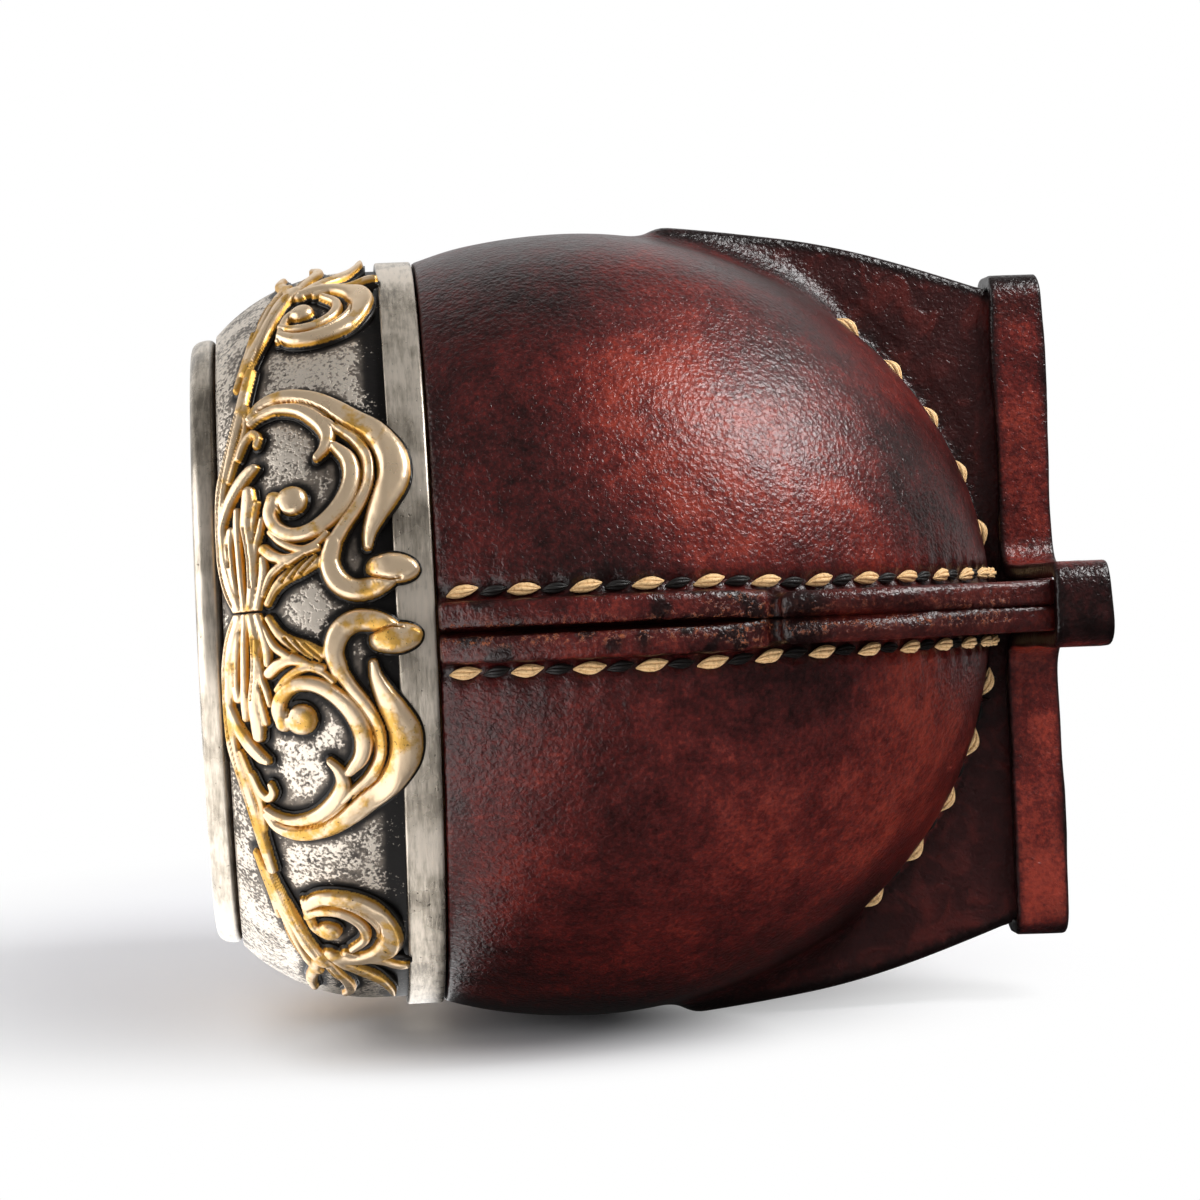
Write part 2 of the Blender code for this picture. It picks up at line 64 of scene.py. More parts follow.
def addNode(tree, kind, links=(), stops=(), **settings):
    # links go to the node's shown sockets in order, or by name: each is a socket, a node for its first
    # shown output, a hex colour or a plain value; stops fill a colour ramp
    node = tree.nodes.new(kind if "Node" in kind else "ShaderNode" + kind)
    for key, value in settings.items():
        setattr(node, key, value)
    for number, (place, colour) in enumerate(stops):
        elements = node.color_ramp.elements
        element = elements[number] if number < len(elements) else elements.new(place)
        element.position = place
        element.color = hexColour(colour)
    if isinstance(links, dict):
        pairs = [(node.inputs[key], value) for key, value in links.items()]
    else:
        pairs = zip([socket for socket in node.inputs if socket.enabled], links)
    for socket, value in pairs:
        if isinstance(value, bpy.types.Node):
            value = next(output for output in value.outputs if output.enabled)
        if isinstance(value, bpy.types.NodeSocket):
            tree.links.new(value, socket)
        else:
            isHex = isinstance(value, str) and value.startswith("#")
            socket.default_value = hexColour(value) if isHex else value
    return node


def smoothMin(a, b, k):
    h = np.maximum(k - np.abs(a - b), 0) / k
    return np.minimum(a, b) - h * h * k / 4


def smoothMax(a, b, k):
    return -smoothMin(-a, -b, k)


def fade(value, low, high):
    share = np.clip((value - low) / (high - low), 0, 1)
    return share * share * (3 - 2 * share)


def bell(value, width):
    return np.exp(-(value / width) ** 2)


def wander(points, size, seed):
    # slow unevenness of a hand-made surface, about -1 to 1
    rng = np.random.default_rng(seed)
    total = np.zeros(len(points))
    for _ in range(9):
        way = rng.normal(size=3)
        way /= np.linalg.norm(way)
        turn = points @ way * (2 * math.pi / (size * rng.uniform(0.7, 1.5)))
        total += np.sin(turn + rng.uniform(0, 6.28))
    return total / 3.6


def linked(name, data):
    made = bpy.data.objects.new(name, data)
    bpy.context.scene.collection.objects.link(made)
    return made


def wire(name, points, closed=False):
    # a line of edges through points in millimetres, as a mesh
    mesh = bpy.data.meshes.new(name)
    count = len(points)
    edges = [(i, (i + 1) % count) for i in range(count if closed else count - 1)]
    mesh.from_pydata((np.array(points) * mm).tolist(), edges, [])
    return mesh


def storeValues(mesh, values):
    for key, numbers in values.items():
        layer = mesh.attributes.new(key, "FLOAT", "POINT")
        layer.data.foreach_set("value", np.asarray(numbers, dtype=np.float32))


def makePiece(name, points, faces, material, values=None):
    # points in millimetres, already in their place
    mesh = bpy.data.meshes.new(name)
    faces = faces.tolist() if isinstance(faces, np.ndarray) else faces
    mesh.from_pydata((np.asarray(points) * mm).tolist(), [], faces)
    storeValues(mesh, values or {})
    mesh.materials.append(material)
    mesh.shade_smooth()
    return linked(name, mesh)


def settle(piece, node):
    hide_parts(node)
    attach(piece, "root")


def ballDistance(p, inset=0.0):
    radius = cup["ballRadius"] - inset
    z = p[:, 2] - cup["bellyHeight"]
    rise = np.where(z > 0, cup["upperRise"], cup["lowerRise"]) - inset
    q = np.stack([p[:, 0] / radius, p[:, 1] / radius, z / rise], 1)
    g = np.stack([p[:, 0] / radius ** 2, p[:, 1] / radius ** 2, z / rise ** 2], 1)
    k0 = np.linalg.norm(q, axis=1)
    return k0 * (k0 - 1) / np.maximum(np.linalg.norm(g, axis=1), 1e-9)


def ballPoint(angle, depth):
    # radius and height of a point of the ball's outline, the given depth under its surface
    rise = cup["upperRise"] if angle > 0 else cup["lowerRise"]
    radius = (cup["ballRadius"] - depth) * math.cos(angle)
    return radius, cup["bellyHeight"] + (rise - depth) * math.sin(angle)


def bezierPoints(a, b, c, d, steps):
    t = np.linspace(0, 1, steps + 1)[:, None]
    a, b, c, d = (np.array(v, dtype=float) for v in (a, b, c, d))
    return (1 - t) ** 3 * a + 3 * (1 - t) ** 2 * t * b + 3 * (1 - t) * t ** 2 * c + t ** 3 * d


def newMaterial(name, attributes=(), noises=()):
    # a noise is its size in millimetres, detail, roughness, distortion and, where it is stretched, its
    # scale upwards
    made = bpy.data.materials.new(name)
    made.use_nodes = True
    made.node_tree.nodes.clear()
    add = partial(addNode, made.node_tree)
    place = add("TexCoord").outputs["Object"]
    given = [add("Attribute", attribute_name=key).outputs["Fac"] for key in attributes]
    for size, detail, rough, bend, *upwards in noises:
        vector = add("Mapping", {"Vector": place, "Scale": (1, 1, upwards[0])}) if upwards else place
        given.append(add("TexNoise", {"Vector": vector, "Scale": 1 / (size * mm), "Detail": detail,
                                      "Roughness": rough, "Distortion": bend}))
    return made, add, place, given


# Camera: the cup lies on its side in the photograph, so the camera is rolled a quarter turn
view = {
    "target": (2.9, 0.0, 55.3),
    "distance": 487.2,
    "tilt": 4.06,
    "roll": 2.6,
    "lens": 120.0,
}


def placeCamera():
    tilt = math.radians(view["tilt"])
    roll = math.radians(view["roll"])
    back = Vector((0, -math.cos(tilt), math.sin(tilt)))
    down = Vector((0, -math.sin(tilt), -math.cos(tilt)))
    across = Vector((1, 0, 0))
    right = math.cos(roll) * down - math.sin(roll) * across
    up = math.sin(roll) * down + math.cos(roll) * across
    data = bpy.data.cameras.new("photoCamera")
    data.lens = view["lens"]
    data.sensor_width = 36
    data.clip_start = 0.01
    data.clip_end = 20
    camera = linked("photoCamera", data)
    turn = Matrix((right, up, back)).transposed()
    place = (Vector(view["target"]) + back * view["distance"]) * mm
    camera.matrix_world = Matrix.Translation(place) @ turn.to_4x4()
    bpy.context.scene.camera = camera
    bpy.context.scene.view_settings.view_transform = "Standard"


placeCamera()
print("camera placed")

# Studio: a light has its way, distance, size and watts, and whether gloss shows it
studio = {
    "lights": {
        "key": ((0.70, -0.32, -0.62), 270, (100, 120), 0.6, True),
        "fill": ((0.10, -0.95, 0.45), 700, (520, 520), 1.0, False),
        "rimLight": ((0.85, 0.25, 0.45), 480, (300, 200), 0.35, False),
    },
    "middle": (0, 0, 55),
    "worldLevel": 0.62,
    "floorAt": -52.5,
    "floorRises": ((-9, -260), (4.4, 0), (42, 420)),
    "floorWidth": (-160, 260),
    # where the paper keeps its shadows: a middle, and the distances between which they fade
    "shadows": [((-47, 55, 80), (40, 105)), ((-47, 0, 70), (12, 50))],
    "glossRange": (70, 100),
    "glossLevel": 2.0,
}


def makeLight(name, way, distance, size, watts, inGloss):
    data = bpy.data.lights.new(name, "AREA")
    data.shape = "RECTANGLE"
    data.size, data.size_y = size[0] * mm, size[1] * mm
    data.energy = watts
    light = linked(name, data)
    way = Vector(way).normalized()
    light.location = (Vector(studio["middle"]) + way * distance) * mm
    light.rotation_euler = way.to_track_quat("Z", "Y").to_euler()
    light.visible_camera = False
    light.visible_glossy = inGloss


def makeWorld():
    # white behind the cup for camera, gloss and glass; a plain grey room for the rest
    world = bpy.data.worlds.new("studioRoom")
    world.use_nodes = True
    world.node_tree.nodes.clear()
    add = partial(addNode, world.node_tree)
    rays = add("LightPath").outputs
    split = add("SeparateXYZ", [add("TexCoord").outputs["Generated"]]).outputs
    # gloss sees the white sweep behind the cup and a white card on the mouth's side, in a dark room
    behind, card = (add("MapRange", values, interpolation_type="SMOOTHSTEP") for values in (
        [split["Y"], 0.3, 0.9, 0.09, 0.8], [split["Z"], 0.66, 0.92, 0.0, 3.0]))
    room = add("Math", [behind, card], operation="MAXIMUM")
    plain, sweep, white = (add("Background", values) for values in (
        ["#f4f4f6", studio["worldLevel"]], ["#ffffff", room], ["#ffffff", 1.0]))
    glossy = add("Math", [rays["Is Glossy Ray"], rays["Is Transmission Ray"]], operation="MAXIMUM")
    inside = add("MixShader", [glossy, plain, sweep])
    add("OutputWorld", [add("MixShader", [rays["Is Camera Ray"], inside, white])])
    bpy.context.scene.world = world


def paperMaterial(name):
    # matt white paper: it keeps the soft shadows near the cup and fades to plain white further out
    made, add, place, _ = newMaterial(name)
    rays = add("LightPath").outputs
    away = 1.0
    for centre, (near, far) in studio["shadows"]:
        distance = add("VectorMath", [place, [c * mm for c in centre]], operation="DISTANCE")
        zone = add("MapRange", [distance, near * mm, far * mm], interpolation_type="SMOOTHSTEP")
        away = add("Math", [away, zone], operation="MINIMUM")
    shown = add("Math", [away, rays["Is Camera Ray"]], operation="MULTIPLY")
    paper = add("BsdfDiffuse", {"Color": (0.94, 0.94, 0.96, 1)})
    glow = add("Emission", ["#ffffff", 1.0])
    mixed = add("MixShader", [shown, paper, glow])
    # for gloss rays the paper glows in bands, a painted reflection: bright under the rim and its edge band,
    # dark under the leather
    low, high = studio["glossRange"]
    share = add("MapRange", [add("SeparateXYZ", [place]).outputs["Z"], low * mm, high * mm])
    bright = add("ValToRGB", [share], [
        (0.22, "#1c1c1c"), (0.29, "#f0f0f0"), (0.38, "#f0f0f0"), (0.45, "#404040"), (0.70, "#404040"),
        (0.92, "#ffffff")])
    inGloss = add("Emission", [bright, studio["glossLevel"]])
    both = add("MixShader", [rays["Is Glossy Ray"], mixed, inGloss])
    backSide = add("NewGeometry").outputs["Backfacing"]
    add("OutputMaterial", [add("MixShader", [backSide, both, add("BsdfTransparent")])])
    return made


def makeStage():
    # the photograph's floor: the cup lies on it, so it stands upright here, seen from the cup's side only
    at = studio["floorAt"]
    corners = [(at + rise, y, z) for rise, y in studio["floorRises"] for z in studio["floorWidth"]]
    makePiece("paperUnderTheLyingCup", corners, [(2, 3, 1, 0), (4, 5, 3, 2)],
                       paperMaterial("mattWhitePaper"))


makeWorld()
for lightName, lightValues in studio["lights"].items():
    makeLight(lightName, *lightValues)
makeStage()
print("studio ready")


# Materials
def finished(made, add, height, strength, depth, values):
    # the bump's height, with its depth in millimetres, and the shader's other values
    bump = add("Bump", {"Strength": strength, "Distance": depth * mm, "Height": height})
    add("OutputMaterial", [add("BsdfPrincipled", {"Normal": bump, **values})])
    return made


def leatherMaterial():
    # vegetable-tanned cowhide, dyed dark red and waxed: fine red flecks where the dye took unevenly, a soft
    # gloss broken up by the grain, nearly black on burnished edges, painted shade in creases and grooves, a
    # painted highlight on wrinkle crests, a painted pool of light on the belly, raw tan fibre where the blade
    # cut it
    made, add, place, given = newMaterial("waxedRedCowhide", ("burnishAndShade", "fold", "red", "raw"), (
        (15, 3, 0.5, 0), (3.6, 6, 0.68, 0), (0.6, 3, 0.7, 0), (4.5, 3, 0.5, 1.4), (0.48, 1, 0.5, 1),
        (2.4, 2, 0.5, 0.8)))
    burnishAndShade, fold, red, raw, blotch, mottle, speck, wrinkle, grain, crumple = given
    pebble = add("TexVoronoi", {"Vector": place, "Scale": 1 / (0.62 * mm), "Smoothness": 0.5},
                 feature="SMOOTH_F1")
    # crest marks the fins' wrinkle crests: besides their bump, a lighter colour (#591a14) is painted there as
    # a highlight
    onFold, crest, fibre = (add("MapRange", values, interpolation_type="SMOOTHSTEP") for values in (
        [fold, 0.2, 2.5], [wrinkle, 0.46, 0.72, 0, 0.6], [speck, 0.52, 0.66]))
    foldShare, crestShare, dark, rawShare = (add("Math", values, operation="MULTIPLY") for values in (
        [onFold, 0.75], [onFold, crest], [burnishAndShade, 0.92], [raw, fibre]))
    # red raises the tone; it carries the painted pool of light on the belly
    tone = 0.0
    for part, weight in ((blotch, 0.26), (mottle, 0.40), (speck, 0.42), (red, 0.26)):
        tone = add("Math", [part, weight, tone], operation="MULTIPLY_ADD")
    colour = add("ValToRGB", [tone], [
        (0.46, "#190605"), (0.55, "#2f0c0b"), (0.63, "#44110f"), (0.71, "#5c1712"), (0.84, "#8a2d1c")])
    # dark carries burnished edges and painted shade in creases, grooves, the seam gap and the notch
    for share, code in ((foldShare, "#32100f"), (crestShare, "#591a14"), (dark, "#0e0606"),
                        (rawShare, "#964f2a")):
        colour = add("Mix", [share, colour, code], data_type="RGBA")
    height = 0.0
    for part, weight in ((pebble, 0.9), (grain, 1.2), (crumple, 1.25), (crestShare, 1.6), (rawShare, 1.5)):
        height = add("Math", [part, weight, height], operation="MULTIPLY_ADD")
    gloss = add("MapRange", [mottle, 0.3, 0.7, 0.28, 0.37])
    dull = add("Math", [rawShare, 0.4, gloss], operation="MULTIPLY_ADD")
    return finished(made, add, height, 1.0, 0.088, {"Base Color": colour, "Roughness": dull, "IOR": 1.5,
                                                    "Specular IOR Level": 0.52})


def threadMaterial(name, light, dark):
    # waxed linen: dull sheen, a fibre pattern that runs along the twist, painted shade where the strands meet
    made, add, _, (groove, fibre) = newMaterial(name, ["strandEdge"], [(0.35, 3, 0.7, 0)])
    colour = add("ValToRGB", [fibre], [(0.25, dark), (0.52, light)])
    share = add("Math", [groove, 0.55], operation="MULTIPLY")
    twisted = add("Mix", [share, colour, dark], data_type="RGBA")
    return finished(made, add, fibre, 0.5, 0.06, {"Base Color": twisted, "Roughness": 0.55})


def gildedMaterial():
    # cast bronze, fire gilt and rubbed: pale bright tops, deeper gold on the slopes and in rough pitted
    # places, black tarnish left in the cuts and round the foot of each ridge
    made, add, _, (relief, patches, pits, dents) = newMaterial("gildedCastBronze", ["relief"], [
        (4.5, 4, 0.6, 0), (0.42, 3, 0.75, 0), (1.1, 3, 0.5, 0)])
    uneven, pitted, rough = (add("Math", values, operation="MULTIPLY_ADD") for values in (
        [patches, 0.3, relief], [pits, 0.3, relief], [patches, 0.5, pits]))
    high, yellow, worn, clear = (add("MapRange", values, interpolation_type="SMOOTHSTEP") for values in (
        [uneven, 0.46, 0.74], [patches, 0.50, 0.62], [pitted, 0.24, 0.38], [rough, 0.91, 0.99, 1, 0]))
    shown, deep = (add("Math", values, operation="MULTIPLY") for values in ([worn, clear], [pits, yellow]))
    gold = add("Mix", [high, "#bf8a30", "#f6dab6"], data_type="RGBA")
    gold = add("Mix", [yellow, gold, "#dcab54"], data_type="RGBA")
    colour = add("Mix", [shown, "#17130f", gold], data_type="RGBA")
    height = add("Math", [deep, 0.9, dents], operation="MULTIPLY_ADD")
    metal = add("MapRange", [shown, 0, 1, 0.35, 0.72])
    gloss = add("MapRange", [patches, 0.35, 0.65, 0.27, 0.44])
    return finished(made, add, height, 0.6, 0.10, {"Base Color": colour, "Metallic": metal,
                                                   "Roughness": gloss})


def oxidisedMaterial():
    # silver sheet blackened with sulphur, then rubbed: dark beside the castings, a bare silver stipple on
    # open ground
    made, add, _, (opened, clouds, dots, soft) = newMaterial("oxidisedSilver", ["open"], [
        (4.2, 4, 0.62, 0), (0.40, 2, 0.5, 0), (1.7, 3, 0.6, 0)])
    level = 0.0
    for part, weight in ((opened, 0.26), (clouds, 0.65), (dots, 0.75)):
        level = add("Math", [part, weight, level], operation="MULTIPLY_ADD")
    wearAndLitPool, near = (add("MapRange", values, interpolation_type="SMOOTHSTEP") for values in (
        [level, 0.84, 1.01], [opened, 0.0, 0.6]))
    warm = add("MapRange", [soft, 0.35, 0.7])
    ground = add("Mix", [warm, "#4a443f", "#8f8478"], data_type="RGBA")
    ground = add("Mix", [near, "#1a1716", ground], data_type="RGBA")
    colour = add("Mix", [wearAndLitPool, ground, "#e8dccd"], data_type="RGBA")
    height = add("Math", [wearAndLitPool, 0.6, soft], operation="MULTIPLY_ADD")
    metal = add("MapRange", [wearAndLitPool, 0, 1, 0.5, 0.7])
    gloss = add("MapRange", [wearAndLitPool, 0, 1, 0.48, 0.36])
    return finished(made, add, height, 0.7, 0.12, {"Base Color": colour, "Metallic": metal,
                                                   "Roughness": gloss})


def nickelMaterial():
    # nickel silver, spun and polished, worn by hands: warm pale grey with brown tarnish in streaks round
    # the turn
    made, add, _, (tarnish, clouds, lines, pits) = newMaterial("wornNickelSilver", ["tarnish"], [
        (9, 4, 0.6, 0), (3, 5, 0.65, 0, 7), (0.5, 2, 0.6, 0)])
    tone = 0.0
    for part, weight in ((clouds, 0.65), (lines, 0.4)):
        tone = add("Math", [part, weight, tone], operation="MULTIPLY_ADD")
    spots = add("Math", [clouds, -0.2, pits], operation="MULTIPLY_ADD")
    spot = add("MapRange", [spots, 0.58, 0.66, 0, 0.7], interpolation_type="SMOOTHSTEP")
    broken = add("MapRange", [lines, 0.3, 0.6, 0.4, 1.0])
    streaks = add("Math", [tarnish, broken], operation="MULTIPLY")
    colour = add("ValToRGB", [tone], [
        (0.40, "#8d8477"), (0.49, "#bdb2a2"), (0.58, "#e2d6c6"), (0.75, "#f2e4d3")])
    for share, code in ((spot, "#3c332a"), (streaks, "#2d2722")):
        colour = add("Mix", [share, colour, code], data_type="RGBA")
    height = add("Math", [spot, -1.5, lines], operation="MULTIPLY_ADD")
    gloss = add("MapRange", [clouds, 0.3, 0.7, 0.22, 0.38])
    return finished(made, add, height, 0.35, 0.10, {"Base Color": colour, "Metallic": 0.72,
                                                    "Roughness": gloss})


def gourdMaterial():
    # dried gourd, scraped and soaked with tea: matt brown wall with darker stains and fibres that run up it
    made, add, _, (fibres, stains) = newMaterial("curedGourdWall", noises=[
        (0.8, 5, 0.6, 0, 0.2), (9, 4, 0.6, 0)])
    tone = add("Math", [fibres, stains], operation="ADD")
    half = add("Math", [tone, 0.5], operation="MULTIPLY")
    colour = add("ValToRGB", [half], [(0.36, "#3a2312"), (0.5, "#6b4726"), (0.66, "#9a6e3f")])
    return finished(made, add, tone, 0.6, 0.1, {"Base Color": colour, "Roughness": 0.8})


leather = leatherMaterial()
tanThread = threadMaterial("waxedTanLinen", "#ecc48c", "#a87846")
blackThread = threadMaterial("waxedBlackLinen", "#1b1816", "#0b0a0a")
gilded = gildedMaterial()
oxidised = oxidisedMaterial()
nickel = nickelMaterial()
gourdWall = gourdMaterial()
print("materials made")

# Leather cover: a pair is where something begins and ends to fade in, as a height unless it says otherwise
cover = {
    "voxel": 0.46,
    "slopeStep": 0.02,
    "pullReach": 1.2,
    "pullRounds": 6,
    "innerReach": 0.5,
    "innerTop": 74,
    "thinnedTop": 70,
    "thinnedShare": 0.9,
    "unevenness": 0.22,
    "evenAbove": (76, 70),
    "weltHalfWidth": 3.6,
    "weltNarrowing": 0.5,
    "weltNarrows": (46, 36),
    "weltWave": 0.16,
    "weltRise": 2.4,
    "weltSinking": 0.8,
    "weltSinks": (70, 76.5),
    "weltEnd": 37.5,
    "weltStart": 4,
    "weltRounding": 0.9,
    "weltBlend": 1.1,
    "finHalfThickness": 2.9,
    "finRounding": 0.9,
    "finFootRounding": 0.35,
    "finFootTop": 8,
    "finBlend": 1.2,
    "finUpperBlend": 3.6,
    "finBlendWidens": (20, 32),
    "barBlend": 0.5,
    "sideFinTopRounding": 1.6,
    "barTopRounding": 1.4,
    "seamHalfGap": 0.02,
    "seamOpening": 0.40,
    "seamOpens": (40, 46),
    "lipRounding": 0.8,
    "footSeamRounding": 0.12,
    "sideFinTop": 46.0,
    "sideFinRadius": 46.9,
    "barTop": 38.9,
    "barRadius": 48.3,
    "barStep": 1.6,
    "notchAt": 39.4,
    "notchDepth": 0.7,
    "footRadius": 38.6,
    "stripHeight": 6.7,
    "finDrop": 16.0,
    "finLean": 5.0,
    "finSpring": 14.0,
    "rowOffset": 0.92,
    "rowWidth": 0.95,
    "grooveDepth": 0.55,
    "sideGrooveDepth": 0.6,
    "pullDepth": 0.16,
    "pitch": 6.8,
}


def ridgeTable(radius, height):
    foot, top = cover["footRadius"], cover["stripHeight"]
    points = bezierPoints((radius, height), (radius, height - cover["finDrop"]),
                          (foot + cover["finLean"], top + cover["finSpring"]), (foot, top), 80)
    return points[::-1, 1], points[::-1, 0]


sideRidge = ridgeTable(cover["sideFinRadius"], cover["sideFinTop"])
barRidge = ridgeTable(cover["barRadius"], cover["barTop"] - cover["barStep"])


def finParts(along, across, z, ridge, top, topRounding):
    edge = np.where(z < cover["stripHeight"], cover["footRadius"] - cup["gap"], np.interp(z, *ridge))
    slope = np.interp(z + 0.5, *ridge) - np.interp(z - 0.5, *ridge)
    out = (along - edge) / np.sqrt(1 + slope * slope)
    rounding = np.where(z < cover["finFootTop"], cover["finFootRounding"], cover["finRounding"])
    body = smoothMax(out, np.abs(across) - cover["finHalfThickness"], rounding)
    body = smoothMax(body, z - top, topRounding)
    return smoothMax(body, cup["gap"] - z, 0.5), out


def arcDown(z):
    # rough length along the cover from the joint down to a height, for what repeats along a seam
    share = np.clip((z - cup["bellyHeight"]) / cup["lowerRise"], -1, 1)
    high = (cup["bellyHeight"] - z) * 1.04
    down = np.where(z > cup["bellyHeight"], high, -np.arcsin(share) * 49.0)
    return down + (cup["jointHeight"] - cup["bellyHeight"]) * 1.04


def weltHalf(z):
    return cover["weltHalfWidth"] - cover["weltNarrowing"] * fade(z, *cover["weltNarrows"])


def coverShape(p):
    x, y, z = p.T
    ball = ballDistance(p) + cover["unevenness"] * wander(p, 26, 3) * fade(z, *cover["evenAbove"])
    sideFin, sideOut = finParts(np.abs(x), y, z, sideRidge, cover["sideFinTop"], cover["sideFinTopRounding"])
    bar, barOut = finParts(np.abs(y), x, z, barRidge, cover["barTop"], cover["barTopRounding"])
    beat = 4 * math.pi * arcDown(z) / cover["pitch"]
    rise = cover["weltRise"] - cover["weltSinking"] * fade(z, *cover["weltSinks"])
    sideways = np.abs(x) - weltHalf(z) - cover["weltWave"] * np.cos(beat)
    welt = smoothMax(ball - rise, sideways, cover["weltRounding"])
    welt = smoothMax(smoothMax(welt, cover["weltEnd"] - z, 1.0), cover["weltStart"] - np.abs(y), 1.0)
    whole = smoothMin(smoothMin(ball, welt, cover["weltBlend"]), bar, cover["barBlend"])
    blend = cover["finBlend"] + cover["finUpperBlend"] * fade(z, *cover["finBlendWidens"])
    whole = smoothMin(whole, sideFin, blend)
    return whole, ball, sideFin, sideOut, bar, barOut, welt, beat


def coverDents(p, ball, beat):
    # what thread and folding do to the leather, as a depth in millimetres
    x, y, z = p.T
    row = np.abs(x) - weltHalf(z) - cover["rowOffset"]
    sideRow = np.abs(y) - cover["finHalfThickness"] - cover["rowOffset"]
    push = 0.5 + 0.5 * np.cos(beat)
    groove = bell(row, cover["rowWidth"]) * fade(np.abs(y), 6, 9) * (0.55 + 0.75 * push)
    sideGroove = bell(sideRow, cover["rowWidth"]) * fade(np.abs(x), 6, 9) * (0.5 + 0.8 * push)
    depth = cover["grooveDepth"] * groove + cover["sideGrooveDepth"] * sideGroove * fade(z, 27, 23)
    depth *= np.abs(ball) < 3
    pull = np.exp(-np.clip(row, 0, 12) / 2.2) * fade(row, 0.2, 1.2) * fade(np.abs(y), 10, 20)
    depth += cover["pullDepth"] * pull * np.cos(beat + 0.3 * wander(p, 9, 5))
    return depth + cover["notchDepth"] * bell(z - cover["notchAt"], 0.55) * (ball > 0.6) * (np.abs(x) < 4)


def coverField(p, side):
    whole, ball, *_, beat = coverShape(p)
    z = p[:, 2]
    opening = cover["seamOpening"] * fade(z, *cover["seamOpens"]) * fade(ball, -0.5, 1.5)
    rounding = np.where(z > 41, cover["lipRounding"], cover["footSeamRounding"])
    whole = smoothMax(whole + coverDents(p, ball, beat), cover["seamHalfGap"] + opening - side * p[:, 0],
                      rounding)
    whole = np.maximum(whole, z - (cup["jointHeight"] - cup["gap"]))
    return np.maximum(whole, -ballDistance(p, cup["leatherThickness"]))


def pulledOnto(field, p):
    steps = cover["slopeStep"] * np.eye(3)
    reach = cover["pullReach"]
    for _ in range(cover["pullRounds"]):
        slope = np.stack([(field(p + step) - field(p - step)) / (2 * step.sum()) for step in steps], 1)
        size = np.maximum((slope ** 2).sum(1), 0.15)
        p = p - np.clip(field(p) / size, -reach, reach)[:, None] * slope
    return p


def readPoints(mesh):
    points = np.empty(len(mesh.vertices) * 3, dtype=np.float32)
    mesh.vertices.foreach_get("co", points)
    return points.reshape(-1, 3).astype(float) / mm


def writePoints(mesh, points):
    mesh.vertices.foreach_set("co", (points * mm).astype(np.float32).ravel())


def applied(piece):
    bpy.context.view_layer.update()
    graph = bpy.context.evaluated_depsgraph_get()
    mesh = bpy.data.meshes.new_from_object(piece.evaluated_get(graph))
    piece.modifiers.clear()
    old = piece.data
    piece.data = mesh
    bpy.data.meshes.remove(old)
    return mesh


def weld(mesh, outward=False):
    working = bmesh.new()
    working.from_mesh(mesh)
    bmesh.ops.remove_doubles(working, verts=working.verts, dist=1e-6)
    if outward:
        bmesh.ops.recalc_face_normals(working, faces=working.faces)
    working.to_mesh(mesh)
    working.free()


def leatherValues(points):
    # where the leather is burnished or darkened by painted shade, folded, redder, lit by a painted pool of
    # light or cut raw
    x, y, z = points.T
    _, ball, sideFin, sideOut, bar, barOut, welt, _ = coverShape(points)
    onWelt = (welt < 0.6) & (ball > 0.5)
    onBar = (bar < 0.5) & (ball > 1.0) & (np.abs(y) > 20)
    edge = bell(np.minimum(np.abs(sideOut), np.abs(barOut)), 1.1) * (ball > 0.8)
    corner = bell(np.abs(y) - cover["finHalfThickness"], 0.7) * (np.abs(sideOut) < 1.2) * (ball > 1)
    # painted shade along the creases where the fins and the bar meet the ball
    crease = np.exp(-np.abs(ball - sideFin) / 1.3) * (sideOut < 0)
    creaseBar = np.exp(-np.abs(ball - bar) / 0.9) * (barOut < 0)
    # painted shade in the stitch row grooves
    groove = bell(np.abs(x) - weltHalf(z) - cover["rowOffset"], 0.9) * fade(np.abs(y), 6, 9) * (ball < 2)
    # dark patches on the welt tops, with painted shade in the notch before the bar
    lipTop = 0.06 + 0.75 * fade(wander(points, 3.5, 33), 0.15, 0.6) + 0.8 * bell(z - cover["notchAt"], 0.6)
    # burnished cut edges along the seam, with painted shade in the gap between them
    seamEdge = bell(x, 0.5) * (ball > 0.2) * np.where(z > 40, 0.8, 0.3)
    # the last term darkens the last few millimetres below the rim
    burnishAndShade = (0.6 * edge + 0.6 * corner + 0.55 * crease + 0.6 * creaseBar + 0.6 * groove + lipTop * onWelt
               + seamEdge + (0.05 + 0.6 * fade(z, 32, 37)) * onBar + 0.35 * fade(z, 72.5, 76))
    cut = np.where(x < 0, bell(x + 1.0, 0.6), 0.6 * bell(x - 0.7, 0.45)) * (ball > 1.2) * (z > 12)
    patch = 0.8 * onWelt * fade(z, 50, 45) * fade(z, 39, 40) * fade(wander(points, 4, 31), 0.1, 0.5)
    # a painted pool of light on the belly's upper face, where the key lamp's highlight falls; below makes the
    # -x side redder, fading out at the bottom
    wearAndLitPool = bell(x - 22, 19) * bell(np.abs(y) - 40, 26) * bell(z - 42, 17)
    below = fade(x, 5, -15) * fade(x, -45, -25)
    red = np.clip(0.12 + 0.3 * wander(points, 30, 8) + 0.75 * wearAndLitPool + 0.45 * below, 0, 1)
    return {
        "burnishAndShade": np.clip(burnishAndShade, 0, 1),
        "fold": np.where(sideFin < 0.5, np.clip(ball, 0, 30), 0),
        "red": np.where(ball < 0.6, red, 0.6 * (onWelt | onBar)),
        "raw": np.clip(cut + patch, 0, 1),
    }


